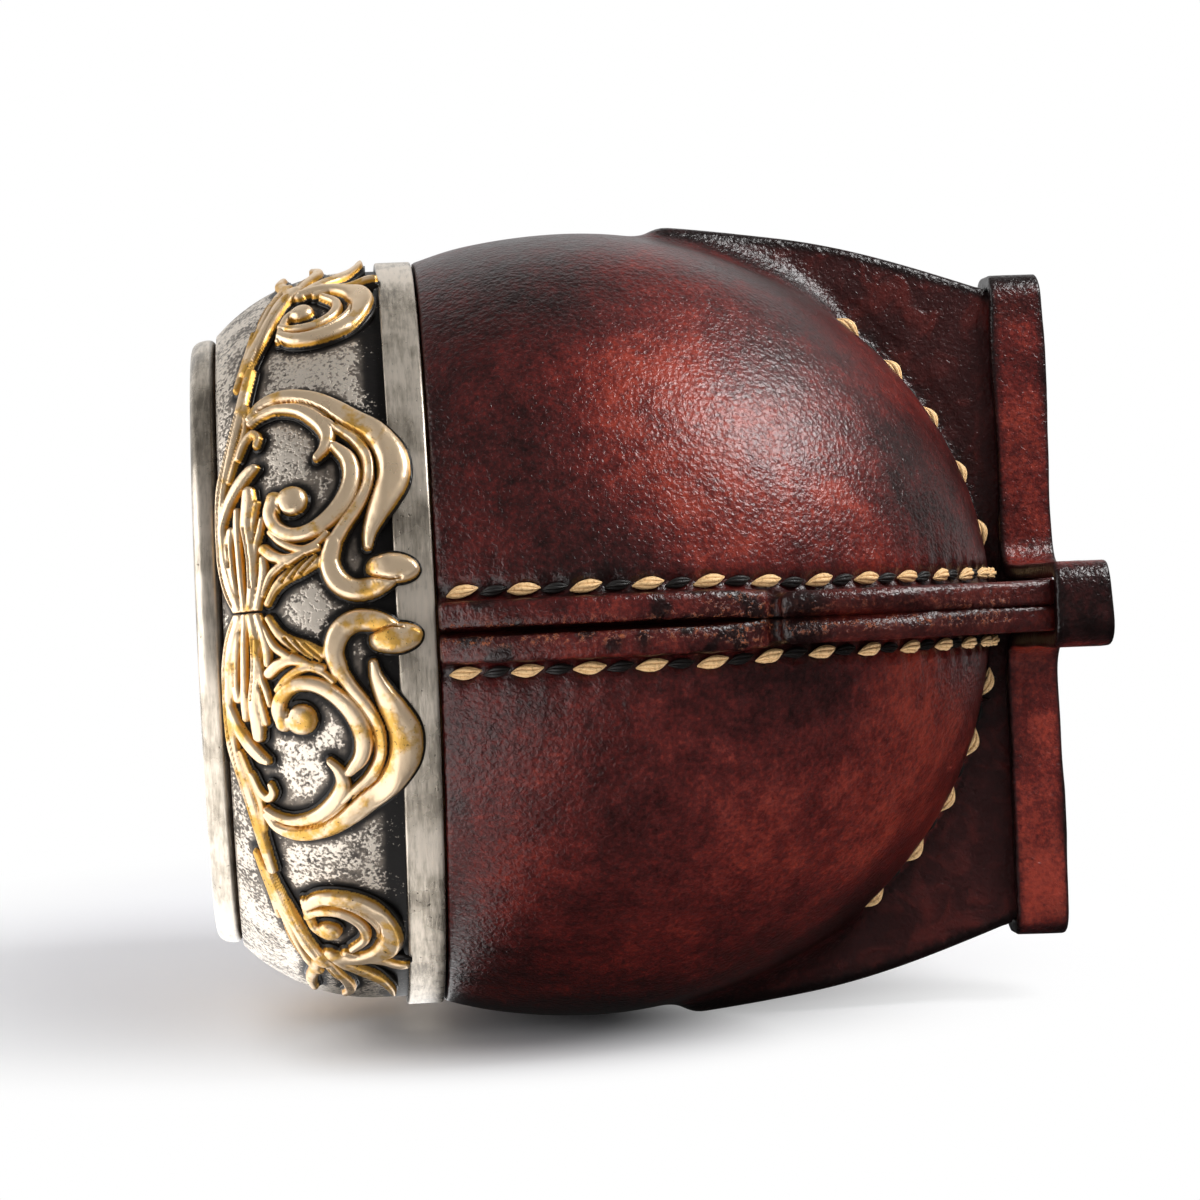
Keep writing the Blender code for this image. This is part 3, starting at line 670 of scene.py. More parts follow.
def makeLeatherHalf(node, name, side):
    # frame["nodes"] keeps loose triangles, so a copy is merged before it is worked on
    piece = linked(name, bpy.data.objects[node].data.copy())
    weld(piece.data)
    remesh = piece.modifiers.new("evenMesh", "REMESH")
    remesh.mode = "VOXEL"
    remesh.voxel_size = cover["voxel"] * mm
    mesh = applied(piece)
    points = readPoints(mesh)
    z = points[:, 2].copy()
    inside = (ballDistance(points, cup["leatherThickness"]) < cover["innerReach"]) & (z < cover["innerTop"])
    points[~inside] = pulledOnto(partial(coverField, side=side), points[~inside])
    writePoints(mesh, points)
    group = piece.vertex_groups.new(name="hiddenWall")
    group.add(np.where(inside & (z < cover["thinnedTop"]))[0].tolist(), 1.0, "REPLACE")
    thin = piece.modifiers.new("fewerHiddenFaces", "DECIMATE")
    thin.vertex_group = "hiddenWall"
    thin.ratio = 1 - cover["thinnedShare"] * float(inside.mean())
    mesh = applied(piece)
    piece.vertex_groups.clear()
    storeValues(mesh, leatherValues(readPoints(mesh)))
    mesh.materials.clear()
    mesh.materials.append(leather)
    mesh.shade_smooth()
    settle(piece, node)
    print(name, len(mesh.polygons), "faces")


for side, sideWord in sides:
    makeLeatherHalf(f"leather_half_{sideWord}", f"leatherHalf{sideWord.title()}", side)
print("leather cover made")

# Turned metal and gourd
rim = {
    "radius": 43.8,
    "straight": 7.3,
    "shoulder": 22.2,
    "shoulderTurn": 46.9,
    "wall": 1.5,
    "edgeBandHeight": 4.3,
    "edgeBandWall": 0.7,
    "lipRadius": 36.5,
    "lipHeight": 2.8,
    "mouthRadius": 28.4,
    "sleeveWall": 0.7,
    "sleeveDepth": 12.0,
    "collar": 3.0,
    "gourdWall": 3.5,
    "turn": 4.6,
    "steps": 256,
    "gourdSteps": 128,
    "domeSteps": 640,
    "domeSpacing": 0.42,
    "groundOpens": (0.4, 1.6),
    "groundStarts": (6.0, 8.2),
}


def domeProfile(inset, spacing):
    # from the top edge of the dome down to the joint
    turn = math.radians(rim["shoulderTurn"])
    reach = rim["shoulder"] - inset
    points = [(rim["radius"] - rim["shoulder"] + reach * math.cos(angle),
               cup["jointHeight"] + rim["straight"] + reach * math.sin(angle))
              for angle in np.linspace(turn, 0, max(int(rim["shoulder"] * turn / spacing), 3) + 1)]
    heights = np.linspace(rim["straight"], 0, max(int(rim["straight"] / spacing), 1) + 1)[1:]
    return points + [(rim["radius"] - inset, cup["jointHeight"] + height) for height in heights]


def turnedPiece(name, profile, material, steps, values):
    # a closed profile turned round the cup's axis, with values for each point of it or of the whole piece
    profile = np.array(profile, dtype=float)
    angle = np.linspace(0, 2 * math.pi, steps, endpoint=False)
    ring = np.stack([np.sin(angle), -np.cos(angle)], 1)
    heights = np.repeat(profile[:, None, 1:2], steps, 1)
    points = np.concatenate([profile[:, None, 0:1] * ring[None], heights], 2).reshape(-1, 3)
    index = np.arange(len(points)).reshape(-1, steps)
    lower = np.roll(index, -1, 0)
    faces = np.stack([index, lower, np.roll(lower, -1, 1), np.roll(index, -1, 1)], -1).reshape(-1, 4)
    values = {key: np.repeat(numbers, steps) if len(numbers) == len(profile) else numbers
              for key, numbers in values.items()}
    return makePiece(name, points, faces, material, values)


def rounded(corners, radius, steps):
    # a closed profile with its corners rounded
    result = []
    count = len(corners)
    for i in range(count):
        here = Vector(corners[i])
        before = Vector(corners[i - 1]) - here
        after = Vector(corners[(i + 1) % count]) - here
        reach = min(radius, before.length * 0.45, after.length * 0.45)
        start, end = here + before.normalized() * reach, here + after.normalized() * reach
        for t in np.linspace(0, 1, steps + 1):
            result.append(tuple(start.lerp(here, t).lerp(here.lerp(end, t), t)))
    return result


def subdivided(profile, spacing):
    result = []
    for first, second in zip(profile, profile[1:] + profile[:1]):
        count = max(int(math.dist(first, second) / spacing), 1)
        for step in range(count):
            t = step / count
            result.append((first[0] + (second[0] - first[0]) * t, first[1] + (second[1] - first[1]) * t))
    return result


def makeMetalTurnings():
    gap = cup["gap"]
    joint = cup["jointHeight"]
    top = domeProfile(0, 1)[0][1] + gap
    high = top + rim["lipHeight"]
    mouth = rim["mouthRadius"]
    sleeve = mouth + rim["sleeveWall"]
    inside = sleeve + gap
    sleeveTop = high - gap
    sleeveEnd = sleeveTop - rim["sleeveDepth"]
    seat = rim["radius"] + 0.05
    face = rim["radius"] + gap + rim["edgeBandWall"]
    band = joint + rim["edgeBandHeight"]

    def edgeTarnish(r, z):
        return max(0, 1 - abs(z - band) / 0.45) * (r < face - 0.15) + 0.5 * max(0, 1 - abs(z - joint) / 0.3)

    for name, node, corners, rounding, steps, spacing, tarnish in (
        ("mouthLip", "rim_lip", [(rim["lipRadius"] - 0.5, high), (rim["lipRadius"] + 0.05, top - 0.2),
                                 (inside, top - 0.2), (inside, high)], 2.0, 8, 0.4,
         lambda r, z: 0.8 * (z < top + 0.35)),
        ("mouthSleeve", "rim_sleeve", [(sleeve, sleeveTop), (sleeve, sleeveEnd), (mouth, sleeveEnd),
                                       (mouth, sleeveTop)], 0.3, 3, 1.0, lambda r, z: 0.0),
        ("edgeBand", "rim_edge_band", [(seat, band), (face, band), (face, joint), (seat, joint)], 0.3, 3, 0.5,
         edgeTarnish),
    ):
        profile = subdivided(rounded(corners, rounding, steps), spacing)
        values = {"tarnish": [tarnish(r, z) for r, z in profile]}
        settle(turnedPiece(name, profile, nickel, rim["steps"], values), node)


def makeGourd():
    gap = cup["gap"]
    inset = cup["leatherThickness"] + gap
    neck = rim["wall"] + gap
    top = cup["jointHeight"] - gap

    def ballLine(depth, count):
        high = math.asin((top - cup["bellyHeight"]) / (cup["upperRise"] - depth))
        line = [ballPoint(angle, depth) for angle in np.linspace(high, -math.pi / 2, count)]
        return [(max(radius, 0.02), height) for radius, height in line]

    outer = domeProfile(neck, 4) + ballLine(inset, 24)
    inner = ballLine(inset + rim["gourdWall"], 44)[::-1] + domeProfile(neck + rim["gourdWall"], 2)[::-1]
    collar = rim["mouthRadius"] + rim["sleeveWall"] + gap
    shelf = outer[0][1] - rim["collar"]
    inner += [(collar + 0.6, shelf), (collar, shelf + 0.6), (collar, outer[0][1])]
    piece = turnedPiece("gourdShell", outer + inner, gourdWall, rim["gourdSteps"], {})
    settle(piece, "gourd_shell")


makeMetalTurnings()
makeGourd()
print("turned pieces made")

# Castings: each stroke has a height and points of (mm round the band, mm up it, half width)
castings = {
    "grid": 0.15,
    "far": 99.0,
    "reach": 4.5,
    "crown": 0.16,
    "fullRelief": 1.5,
    "cutAbove": 0.15,
    "lineSpacing": 0.12,
    "base": 0.28,
    "margin": 0.24,
    "height": 0.82,
    "swell": 0.08,
    "sunk": 0.15,
    "mirrorGap": 0.12,
    "topRamp": 3.4,
    "footRamp": 0.4,
}
designs = {
    "scroll": {
        "strokes": {
            "beak": (1.8, [(3.9, 6.2, 1.2), (3.8, 5.0, 1.55), (3.7, 3.9, 1.55), (3.6, 2.9, 1.2),
                (3.45, 2.2, 0.6)]),
            "neck": (1.5, [(7.0, 10.8, 0.95), (4.9, 11.3, 1.1), (2.9, 10.6, 1.2), (1.75, 9.0, 1.2),
                (1.75, 7.1, 1.15), (2.4, 5.4, 1.0), (3.2, 4.3, 0.8)]),
            "rib": (1.35, [(22.0, 11.0, 0.3), (20.6, 9.6, 0.45), (19.0, 7.95, 0.55), (16.6, 6.75, 0.62),
                (13.8, 6.75, 0.65), (11.2, 7.9, 0.68), (9.0, 9.5, 0.72), (7.0, 10.8, 0.85)]),
            "band": (1.5, [(25.0, 19.8, 0.4), (26.4, 18.4, 0.7), (26.7, 15.9, 0.95), (25.4, 12.7, 1.15),
                (23.3, 9.9, 1.35), (20.9, 7.3, 1.5), (18.6, 5.2, 1.65), (16.4, 4.0, 1.8), (14.0, 3.9, 1.8),
                (11.8, 4.9, 1.55), (9.8, 6.0, 1.15), (8.0, 6.8, 0.75), (6.4, 7.1, 0.45)]),
            "lobe": (1.4, [(24.3, 19.8, 0.3), (25.0, 18.4, 0.5), (25.1, 16.4, 0.62), (24.1, 13.9, 0.8),
                (22.1, 11.8, 0.95), (20.1, 10.9, 0.85), (18.4, 11.3, 0.6), (17.3, 12.2, 0.35)]),
            "spiral": (1.45, [(18.4, 10.1, 0.55), (16.7, 8.75, 0.9), (14.4, 8.5, 1.0), (12.0, 9.4, 1.0),
                (10.0, 11.1, 0.95), (8.7, 13.2, 0.88), (8.5, 15.3, 0.82), (9.5, 17.0, 0.82),
                (11.3, 17.8, 0.85), (13.2, 17.3, 0.9)]),
            "curl": (1.0, [(9.2, 17.9, 0.35), (8.0, 16.9, 0.42), (7.1, 15.6, 0.45), (6.7, 14.1, 0.42),
                (7.2, 12.7, 0.35), (8.2, 11.5, 0.3)]),
            "fan": (0.9, [(0.9, 18.6, 0.45), (2.6, 17.6, 0.62), (3.7, 16.2, 0.75), (4.5, 14.4, 0.85),
                (5.2, 12.9, 0.8)]),
            "fanLeft": (1.0, [(1.9, 19.2, 0.4), (4.3, 17.9, 0.5), (5.6, 15.7, 0.55), (6.4, 13.8, 0.5),
                (6.7, 12.6, 0.4)]),
            "fanTip": (1.05, [(7.3, 18.8, 0.7), (6.4, 17.8, 0.75), (5.9, 16.5, 0.55), (6.0, 15.0, 0.4)]),
        },
        "balls": [((12.5, 15.3), 1.9, 1.7)],
        "cuts": [
            (0.55, [(3.2, 16.7, 0.16), (4.7, 15.4, 0.16), (5.9, 13.9, 0.15)]),
            (0.55, [(3.5, 15.6, 0.16), (4.9, 14.4, 0.16), (5.9, 13.2, 0.15)]),
            (0.55, [(3.9, 14.5, 0.15), (4.9, 13.4, 0.15), (5.8, 12.5, 0.14)]),
            (0.5, [(1.4, 18.9, 0.15), (3.4, 17.7, 0.16), (5.0, 16.1, 0.15)]),
            (0.9, [(22.4, 10.4, 0.13), (20.9, 8.9, 0.15), (19.3, 7.15, 0.17), (16.7, 5.95, 0.17),
                (13.8, 5.95, 0.17), (11.3, 6.95, 0.16), (9.0, 8.3, 0.15)]),
            (0.8, [(25.7, 18.6, 0.13), (25.9, 16.4, 0.14), (24.9, 13.3, 0.15), (22.9, 10.9, 0.17),
                (21.2, 9.8, 0.15)]),
            (0.9, [(3.2, 7.3, 0.16), (2.75, 6.0, 0.18), (2.5, 4.8, 0.17), (2.65, 3.6, 0.12)]),
            (1.1, [(10.9, 14.0, 0.2), (10.6, 15.2, 0.28), (11.1, 16.3, 0.3), (12.1, 16.6, 0.18)]),
        ],
    },
    "leaf": {
        "strokes": {
            "stem": (1.25, [(0.5, 22.4, 0.8), (3, 23.4, 1.0), (6.4, 24.2, 0.9), (9.4, 24.4, 0.8),
                (12.5, 24.4, 0.8), (16.9, 24.1, 0.8), (20.5, 23, 0.8), (25.2, 21.6, 0.8), (29.7, 20.5, 0.7),
                (33.2, 19.6, 0.6)]),
            "tongueMain": (1.3, [(0.4, 20.7, 0.5), (3.9, 20.3, 0.62), (7.4, 20.4, 0.66), (10.7, 20.8, 0.75),
                (13.5, 20.5, 0.9), (15.0, 20.4, 0.75)]),
            "tongueMid": (1.1, [(0.3, 21.5, 0.4), (3.8, 21.8, 0.4), (7.9, 22.0, 0.42), (10.8, 22.1, 0.5),
                (13.0, 22.0, 0.42)]),
            "tongueLeft": (1.1, [(2.4, 22.6, 0.45), (5.9, 23.1, 0.5), (8.6, 23.3, 0.62),
                (10.6, 23.0, 0.6)]),
            "tongueRight": (1.05, [(5.2, 20.0, 0.3), (7.8, 19.7, 0.38), (9.4, 19.2, 0.4),
                (11.0, 18.8, 0.32)]),
            "tongueLow": (1.0, [(8.8, 20.2, 0.3), (11.0, 19.9, 0.4), (13.2, 19.4, 0.4)]),
            "shell": (1.1, [(0.5, 19.9, 0.5), (2.6, 19.3, 0.55), (4.6, 18.9, 0.6), (6.2, 18.9, 0.4)]),
            "leafA": (1.25, [(11.4, 24.3, 0.5), (14.2, 23.2, 0.75), (16.2, 21.8, 0.9), (17.5, 20.4, 0.85),
                (17.9, 19.6, 0.6)]),
            "thread": (0.9, [(17.5, 23.0, 0.35), (20.5, 21.9, 0.42), (24.0, 20.6, 0.45),
                (27.4, 20.4, 0.4)]),
            "comma": (1.05, [(20.2, 21.6, 0.4), (22.0, 20.8, 0.5), (22.9, 19.7, 0.55), (22.0, 19.0, 0.5),
                (21.0, 19.2, 0.4)]),
        },
        "cuts": [
            (0.5, [(1.0, 23.0, 0.16), (4.0, 24.1, 0.18), (8.0, 24.6, 0.16), (14.0, 24.5, 0.15),
                (20.0, 23.3, 0.14), (27.0, 21.4, 0.13)]),
            (0.5, [(3.0, 20.4, 0.14), (7.0, 20.6, 0.15), (10.5, 21.0, 0.15)]),
            (0.4, [(9.0, 23.4, 0.13), (6.0, 23.2, 0.14)]),
        ],
    },
    "crescent": {
        "strokes": {
            "crescent": (1.45, [(37.6, 15.6, 0.6), (36.2, 14.2, 0.95), (35.7, 12.0, 1.15),
                (36.5, 9.6, 1.35), (38.7, 7.4, 1.5), (41.4, 6.4, 1.5), (44.2, 6.9, 1.3), (46.0, 8.4, 1.05),
                (46.9, 10.8, 0.8), (46.6, 13.0, 0.6)]),
            "inner": (1.25, [(39.6, 15.6, 0.42), (38.3, 14.2, 0.55), (38.0, 11.8, 0.62), (39.6, 9.7, 0.62),
                (42.3, 9.1, 0.58), (44.6, 10.6, 0.45)]),
            "hook": (1.1, [(37.0, 15.9, 0.5), (39.4, 15.5, 0.5), (41.4, 14.9, 0.5), (42.4, 13.9, 0.5)]),
            "branch": (1.3, [(33.6, 20.3, 0.75), (36.9, 19.0, 0.85), (39.8, 17.7, 0.85), (42.8, 16.6, 0.85),
                (45.8, 15.5, 0.95), (48.8, 13.9, 1.05)]),
            "branchTop": (1.0, [(31.5, 21.6, 0.4), (34.5, 20.6, 0.6), (38.0, 19.6, 0.65),
                (41.2, 19.0, 0.5)]),
            "branchFold": (1.0, [(38.5, 19.2, 0.4), (42.0, 18.2, 0.6), (45.5, 17.3, 0.65),
                (49.0, 16.0, 0.55), (51.8, 14.5, 0.5)]),
            "fanA": (1.15, [(46.4, 13.2, 0.8), (48.6, 11.5, 0.9), (50.6, 8.9, 0.95), (53.6, 6.8, 0.75),
                (55.6, 6.2, 0.4)]),
            "fanB": (1.05, [(48.0, 13.8, 0.7), (51.0, 12.7, 0.8), (53.8, 11.4, 0.8), (56.8, 11.0, 0.6),
                (58.6, 11.6, 0.4)]),
            "fanC": (1.0, [(48.6, 14.6, 0.6), (52.0, 15.1, 0.7), (55.6, 15.6, 0.65), (58.8, 15.2, 0.5)]),
            "tip": (1.1, [(45.8, 11.3, 0.6), (46.9, 8.6, 0.75), (47.2, 6.4, 0.65), (46.8, 4.6, 0.4)]),
        },
        "balls": [((41.5, 13.1), 1.45, 1.6)],
        "cuts": [
            (0.5, [(36.6, 13.8, 0.15), (36.4, 11.2, 0.17), (37.6, 8.8, 0.18), (39.6, 7.6, 0.17),
                (42.2, 7.6, 0.15), (44.2, 8.9, 0.14)]),
            (0.4, [(34.0, 19.5, 0.14), (38.0, 18.0, 0.15), (43.0, 16.2, 0.15), (47.0, 14.5, 0.14)]),
            (0.4, [(48.4, 12.4, 0.14), (50.5, 10.2, 0.15), (53.0, 8.0, 0.13)]),
            (0.4, [(50.0, 13.4, 0.14), (53.4, 12.1, 0.15), (56.4, 11.6, 0.13)]),
            (0.4, [(40.0, 19.2, 0.13), (44.0, 18.0, 0.14), (49.0, 16.4, 0.13)]),
        ],
    },
}


def smoothLine(points):
    # Catmull-Rom through the points, evenly filled
    p = np.array(points, dtype=float)
    p = np.vstack([2 * p[0] - p[1], p, 2 * p[-1] - p[-2]])
    result = []
    for i in range(1, len(p) - 2):
        count = max(int(np.linalg.norm(p[i + 1, :2] - p[i, :2]) / castings["lineSpacing"]), 2)
        t = np.linspace(0, 1, count, endpoint=False)[:, None]
        result.append(0.5 * (2 * p[i] + (p[i + 1] - p[i - 1]) * t
                             + (2 * p[i - 1] - 5 * p[i] + 4 * p[i + 1] - p[i + 2]) * t ** 2
                             + (3 * p[i] - p[i - 1] - 3 * p[i + 1] + p[i + 2]) * t ** 3))
    result.append(p[-2:-1])
    return np.vstack(result)


def strokeShare(places, line):
    # distance from the line as a share of its half width there, and plain clearance outside its edge
    share = np.full(len(places), castings["far"])
    clear = share.copy()
    reach = line[:, 2].max() + castings["reach"]
    low, high = line[:, :2].min(0) - reach, line[:, :2].max(0) + reach
    near = np.where(((places > low) & (places < high)).all(1))[0]
    for part in np.array_split(near, max(len(near) // 4000, 1)):
        d = np.linalg.norm(places[part, None, :] - line[None, :, :2], axis=2)
        share[part] = (d / line[None, :, 2]).min(1)
        clear[part] = (d - line[None, :, 2]).min(1)
    return share, clear


def reliefAt(design, places):
    # height of the casting over its base plate, and clearance from its outline
    relief = np.zeros(len(places))
    clear = np.full(len(places), castings["far"])
    for high, points in design["strokes"].values():
        line = smoothLine(points)
        line[:, 2] += castings["swell"]
        share, away = strokeShare(places, line)
        share = np.clip(share, 0, 1)
        inside = (1 - share ** 5) ** 0.75 * (1 - castings["crown"] * share ** 2)
        relief = np.maximum(relief, castings["height"] * high * inside)
        clear = np.minimum(clear, away)
    for middle, radius, high in design.get("balls", []):
        d = np.linalg.norm(places - np.array(middle), axis=1)
        inside = np.clip(1 - (d / radius) ** 4, 0, 1) ** 0.6
        relief = np.maximum(relief, castings["height"] * high * inside)
        clear = np.minimum(clear, d - radius)
    for depth, points in design["cuts"]:
        share, _ = strokeShare(places, smoothLine(points))
        relief = relief - depth * np.clip(1 - share ** 2, 0, 1) * (relief > castings["cutAbove"])
    return np.maximum(relief, 0), clear


def castingSheet(design):
    # the part of the plane inside the outline as triangles, with its edge cut exactly at the outline
    every = np.vstack([points for _, points in design["strokes"].values()])[:, :2]
    low, high = every.min(0) - 3, every.max(0) + 3
    across, up = (np.arange(low[i], high[i], castings["grid"]) for i in (0, 1))
    places = np.stack([values.ravel() for values in np.meshgrid(across, up, indexing="ij")], 1)
    relief, clear = reliefAt(design, places)
    # the mirror line is a straight edge
    value = np.minimum(castings["margin"] - clear, places[:, 0] - castings["mirrorGap"])
    value = np.where(np.abs(value) < 1e-6, 1e-6, value)
    number = np.arange(len(places)).reshape(len(across), len(up))
    quads = np.stack([number[:-1, :-1], number[1:, :-1], number[1:, 1:], number[:-1, 1:]], -1).reshape(-1, 4)
    count = (value[quads] > 0).sum(1)
    full = quads[count == 4]
    extra = []
    extraIndex = {}
    mixed = []
    for corners in quads[(count > 0) & (count < 4)]:
        polygon = []
        for here, after in zip(corners, np.roll(corners, -1)):
            if value[here] > 0:
                polygon.append(here)
            if (value[here] > 0) != (value[after] > 0):
                a, b = key = (min(here, after), max(here, after))
                if key not in extraIndex:
                    extraIndex[key] = len(places) + len(extra)
                    extra.append(places[a] + value[a] / (value[a] - value[b]) * (places[b] - places[a]))
                polygon.append(extraIndex[key])
        mixed += [(polygon[0], polygon[k], polygon[k + 1]) for k in range(1, len(polygon) - 1)]
    triangles = np.vstack([full[:, [0, 1, 2]], full[:, [0, 2, 3]], np.array(mixed)])
    places = np.vstack([places, extra])
    relief = np.concatenate([relief, reliefAt(design, np.array(extra))[0] * 0.5])
    used, inverse = np.unique(triangles, return_inverse=True)
    return places[used], relief[used], inverse.reshape(-1, 3)


def onRim(places, lift, turn, side, ramp):
    a, w = places.T
    angle = turn + side * a / rim["radius"]
    shoulder = np.maximum(w - rim["straight"], 0) / rim["shoulder"]
    bandTop = rim["edgeBandHeight"] + cup["gap"]
    lift = lift + fade(w, bandTop + ramp, bandTop) * (rim["edgeBandWall"] + cup["gap"])
    radius = np.where(shoulder == 0, rim["radius"] + lift,
                      rim["radius"] - rim["shoulder"] + (rim["shoulder"] + lift) * np.cos(shoulder))
    height = np.where(shoulder == 0, cup["jointHeight"] + w,
                      cup["jointHeight"] + rim["straight"] + (rim["shoulder"] + lift) * np.sin(shoulder))
    return np.stack([radius * np.sin(angle), -radius * np.cos(angle), height], 1)


def makeCastings():
    for word, design in designs.items():
        places, relief, triangles = castingSheet(design)
        count = len(places)
        edges = np.vstack([triangles[:, [0, 1]], triangles[:, [1, 2]], triangles[:, [2, 0]]])
        _, first, times = np.unique(np.sort(edges, 1), axis=0, return_index=True, return_counts=True)
        a, b = edges[first[times == 1]].T
        walls = np.vstack([np.stack([b, a, a + count], 1), np.stack([b, a + count, b + count], 1)])
        allFaces = np.vstack([triangles, triangles[:, ::-1] + count, walls])
        height = np.concatenate([relief / castings["fullRelief"], np.zeros(count)])
        for turn, endWord in ((0.0, "front"), (math.pi, "back")):
            for side, sideWord in sides:
                place = math.radians(rim["turn"]) + turn
                points = np.vstack([onRim(places, lift, place, side, ramp) for lift, ramp in (
                    (castings["base"] + relief, castings["topRamp"]),
                    (-castings["sunk"], castings["footRamp"]))])
                piece = makePiece(f"casting{word.title()}{endWord.title()}{sideWord.title()}", points,
                                  allFaces[:, ::side], gilded, {"relief": height})
                settle(piece, f"casting_{word}_{endWord}_{sideWord}")
        print(word, len(allFaces), "triangles each")


def makeRimBand():
    # the dome, fine enough to carry how open the ground is beside the castings
    outer = domeProfile(0, rim["domeSpacing"])
    profile = outer + domeProfile(rim["wall"], 4)[::-1]
    steps = rim["domeSteps"]
    lengths = np.concatenate([[0], np.cumsum([math.dist(a, b) for a, b in zip(outer, outer[1:])])])
    turn = np.linspace(0, 360, steps, endpoint=False) - rim["turn"]
    around = np.radians(np.abs((turn + 90) % 180 - 90)) * rim["radius"]
    places = np.stack([values.ravel() for values in np.meshgrid(around, lengths[-1] - lengths)], 1)
    clear = np.min([reliefAt(design, places)[1] for design in designs.values()], 0)
    values = np.zeros(len(profile) * steps)
    values[:len(places)] = fade(clear, *rim["groundOpens"]) * fade(places[:, 1], *rim["groundStarts"])
    settle(turnedPiece("rimDome", profile, oxidised, steps, {"open": values}), "rim_band")


makeCastings()
makeRimBand()
print("castings made")

# Stitches
stitching = {
    "length": 3.7,
    "thickness": 1.5,
    "slant": 9.0,
    "jitter": 5.0,
    "rowStart": 3.0,
    "sideRowHeight": 24.0,
    "strands": 6,
    "strandReach": 0.31,
    "strandRadius": 0.19,
    "fullness": 0.8,
    "blunt": 0.02,
    "edgeShade": 0.15,
    "twist": 0.2,
    "along": 12,
    "around": 6,
    "rowLift": 0.35,
    "rowPoints": 160,
    "seamEnd": 7,
    "finEnd": 10,
    # share of the full size, bow and sink
    "light": (1.0, 0.42, 0.30),
    "dark": (0.85, 0.10, 0.50),
}


def stitchShape(name, share, bow, sink):
    # strands that lie nearly side by side, full in the middle and thin where they go into the leather
    points, faces, edge = [], [], []
    length, thick = stitching["length"] * share, stitching["thickness"] * share
    along, around, strands, blunt = (stitching[key] for key in ("along", "around", "strands", "blunt"))
    for strand in range(strands):
        start = len(points)
        for t in (i / along for i in range(along + 1)):
            swell = math.sin(math.pi * min(max(t, blunt), 1 - blunt)) ** stitching["fullness"]
            twist = 2 * math.pi * (strand / strands + stitching["twist"] * t)
            radius = thick * stitching["strandReach"] * swell
            own = thick * stitching["strandRadius"] * swell
            up = radius * math.sin(twist) + bow * math.sin(math.pi * t) - sink * thick
            for turn in (2 * math.pi * j / around for j in range(around)):
                points.append((length * (t - 0.5), radius * math.cos(twist) + own * math.cos(turn),
                               up + own * math.sin(turn)))
                # strandEdge is painted shade on the side of each strand that faces the others
                edge.append(max(0.0, stitching["edgeShade"] - math.cos(turn - twist)))
        for i in range(start, start + along * around, around):
            for j in range(around):
                a, b = i + j, i + (j + 1) % around
                faces.append((a + around, b + around, b, a))
        faces.append(tuple(range(start, start + around)))
        faces.append(tuple(range(len(points) - 1, len(points) - 1 - around, -1)))
    return makePiece(name, points, faces, tanThread, {"strandEdge": edge})


def newTree(name, output, sockets):
    tree = bpy.data.node_groups.new(name, "GeometryNodeTree")
    for label, kind in {"Path": "Geometry", **sockets}.items():
        tree.interface.new_socket(label, in_out="INPUT", socket_type="NodeSocket" + kind)
    tree.interface.new_socket(output, in_out="OUTPUT", socket_type="NodeSocketGeometry")
    add = partial(addNode, tree)
    return tree, add, add("NodeGroupInput").outputs


def stitchTree():
    # instances one stitch at every step of a path: light ones at even steps, dark ones between
    tree, add, given = newTree("sewRow", "Stitches", {
        "Light Stitch": "Object", "Dark Stitch": "Object", "Step": "Float", "Slant": "Float",
        "Jitter": "Float", "Seed": "Int", "Light Thread": "Material", "Dark Thread": "Material"})
    line = add("GeometryNodeMeshToCurve", [given["Path"]])
    spaced = add("GeometryNodeResampleCurve", {"Curve": line, "Length": given["Step"]}, mode="LENGTH")
    outward = add("GeometryNodeInputNamedAttribute", {"Name": "outward"}, data_type="FLOAT_VECTOR")
    keep = add("GeometryNodeCaptureAttribute")
    keep.capture_items.new("VECTOR", "tangent")
    for number, source in enumerate((spaced, add("GeometryNodeInputTangent"))):
        tree.links.new(source.outputs[0], keep.inputs[number])
    dots = add("GeometryNodeCurveToPoints", {0: keep}, mode="EVALUATED")
    turn = add("FunctionNodeAxesToRotation", {0: keep.outputs[1], 1: outward}, primary_axis="X",
               secondary_axis="Z")
    remain = add("Math", [add("GeometryNodeInputIndex"), 2.0], operation="MODULO")
    odd = add("FunctionNodeCompare", [remain, 1], data_type="INT", operation="EQUAL")
    even = add("FunctionNodeBooleanMath", [odd], operation="NOT")
    spread = add("FunctionNodeRandomValue", {0: (-1, -1, -1), 1: (1, 1, 1), "Seed": given["Seed"]},
                 data_type="FLOAT_VECTOR")
    scaled = add("VectorMath", {0: spread, "Scale": given["Jitter"]}, operation="SCALE")
    lean = add("CombineXYZ", {2: given["Slant"]})
    both = add("VectorMath", [scaled, lean], operation="ADD")
    turned = add("FunctionNodeRotateRotation", [turn, add("FunctionNodeEulerToRotation", [both])],
                 rotation_space="LOCAL")
    joined = add("GeometryNodeJoinGeometry")
    for word, pick in (("Light", even), ("Dark", odd)):
        shape = add("GeometryNodeObjectInfo", {"Object": given[word + " Stitch"]}).outputs["Geometry"]
        sewn = add("GeometryNodeInstanceOnPoints", {"Points": dots, "Instance": shape, "Rotation": turned,
                                                    "Selection": pick})
        real = add("GeometryNodeRealizeInstances", {0: sewn})
        dressed = add("GeometryNodeSetMaterial", {"Geometry": real, "Material": given[word + " Thread"]})
        tree.links.new(dressed.outputs[0], joined.inputs[0])
    add("NodeGroupOutput", {0: joined})
    return tree


def runTree(piece, tree, values):
    # the tree's inputs by their labels; the result becomes the piece's own mesh
    modifier = piece.modifiers.new(tree.name, "NODES")
    modifier.node_group = tree
    for item in tree.interface.items_tree:
        if item.name in values:
            modifier[item.identifier] = values[item.name]
    return applied(piece)


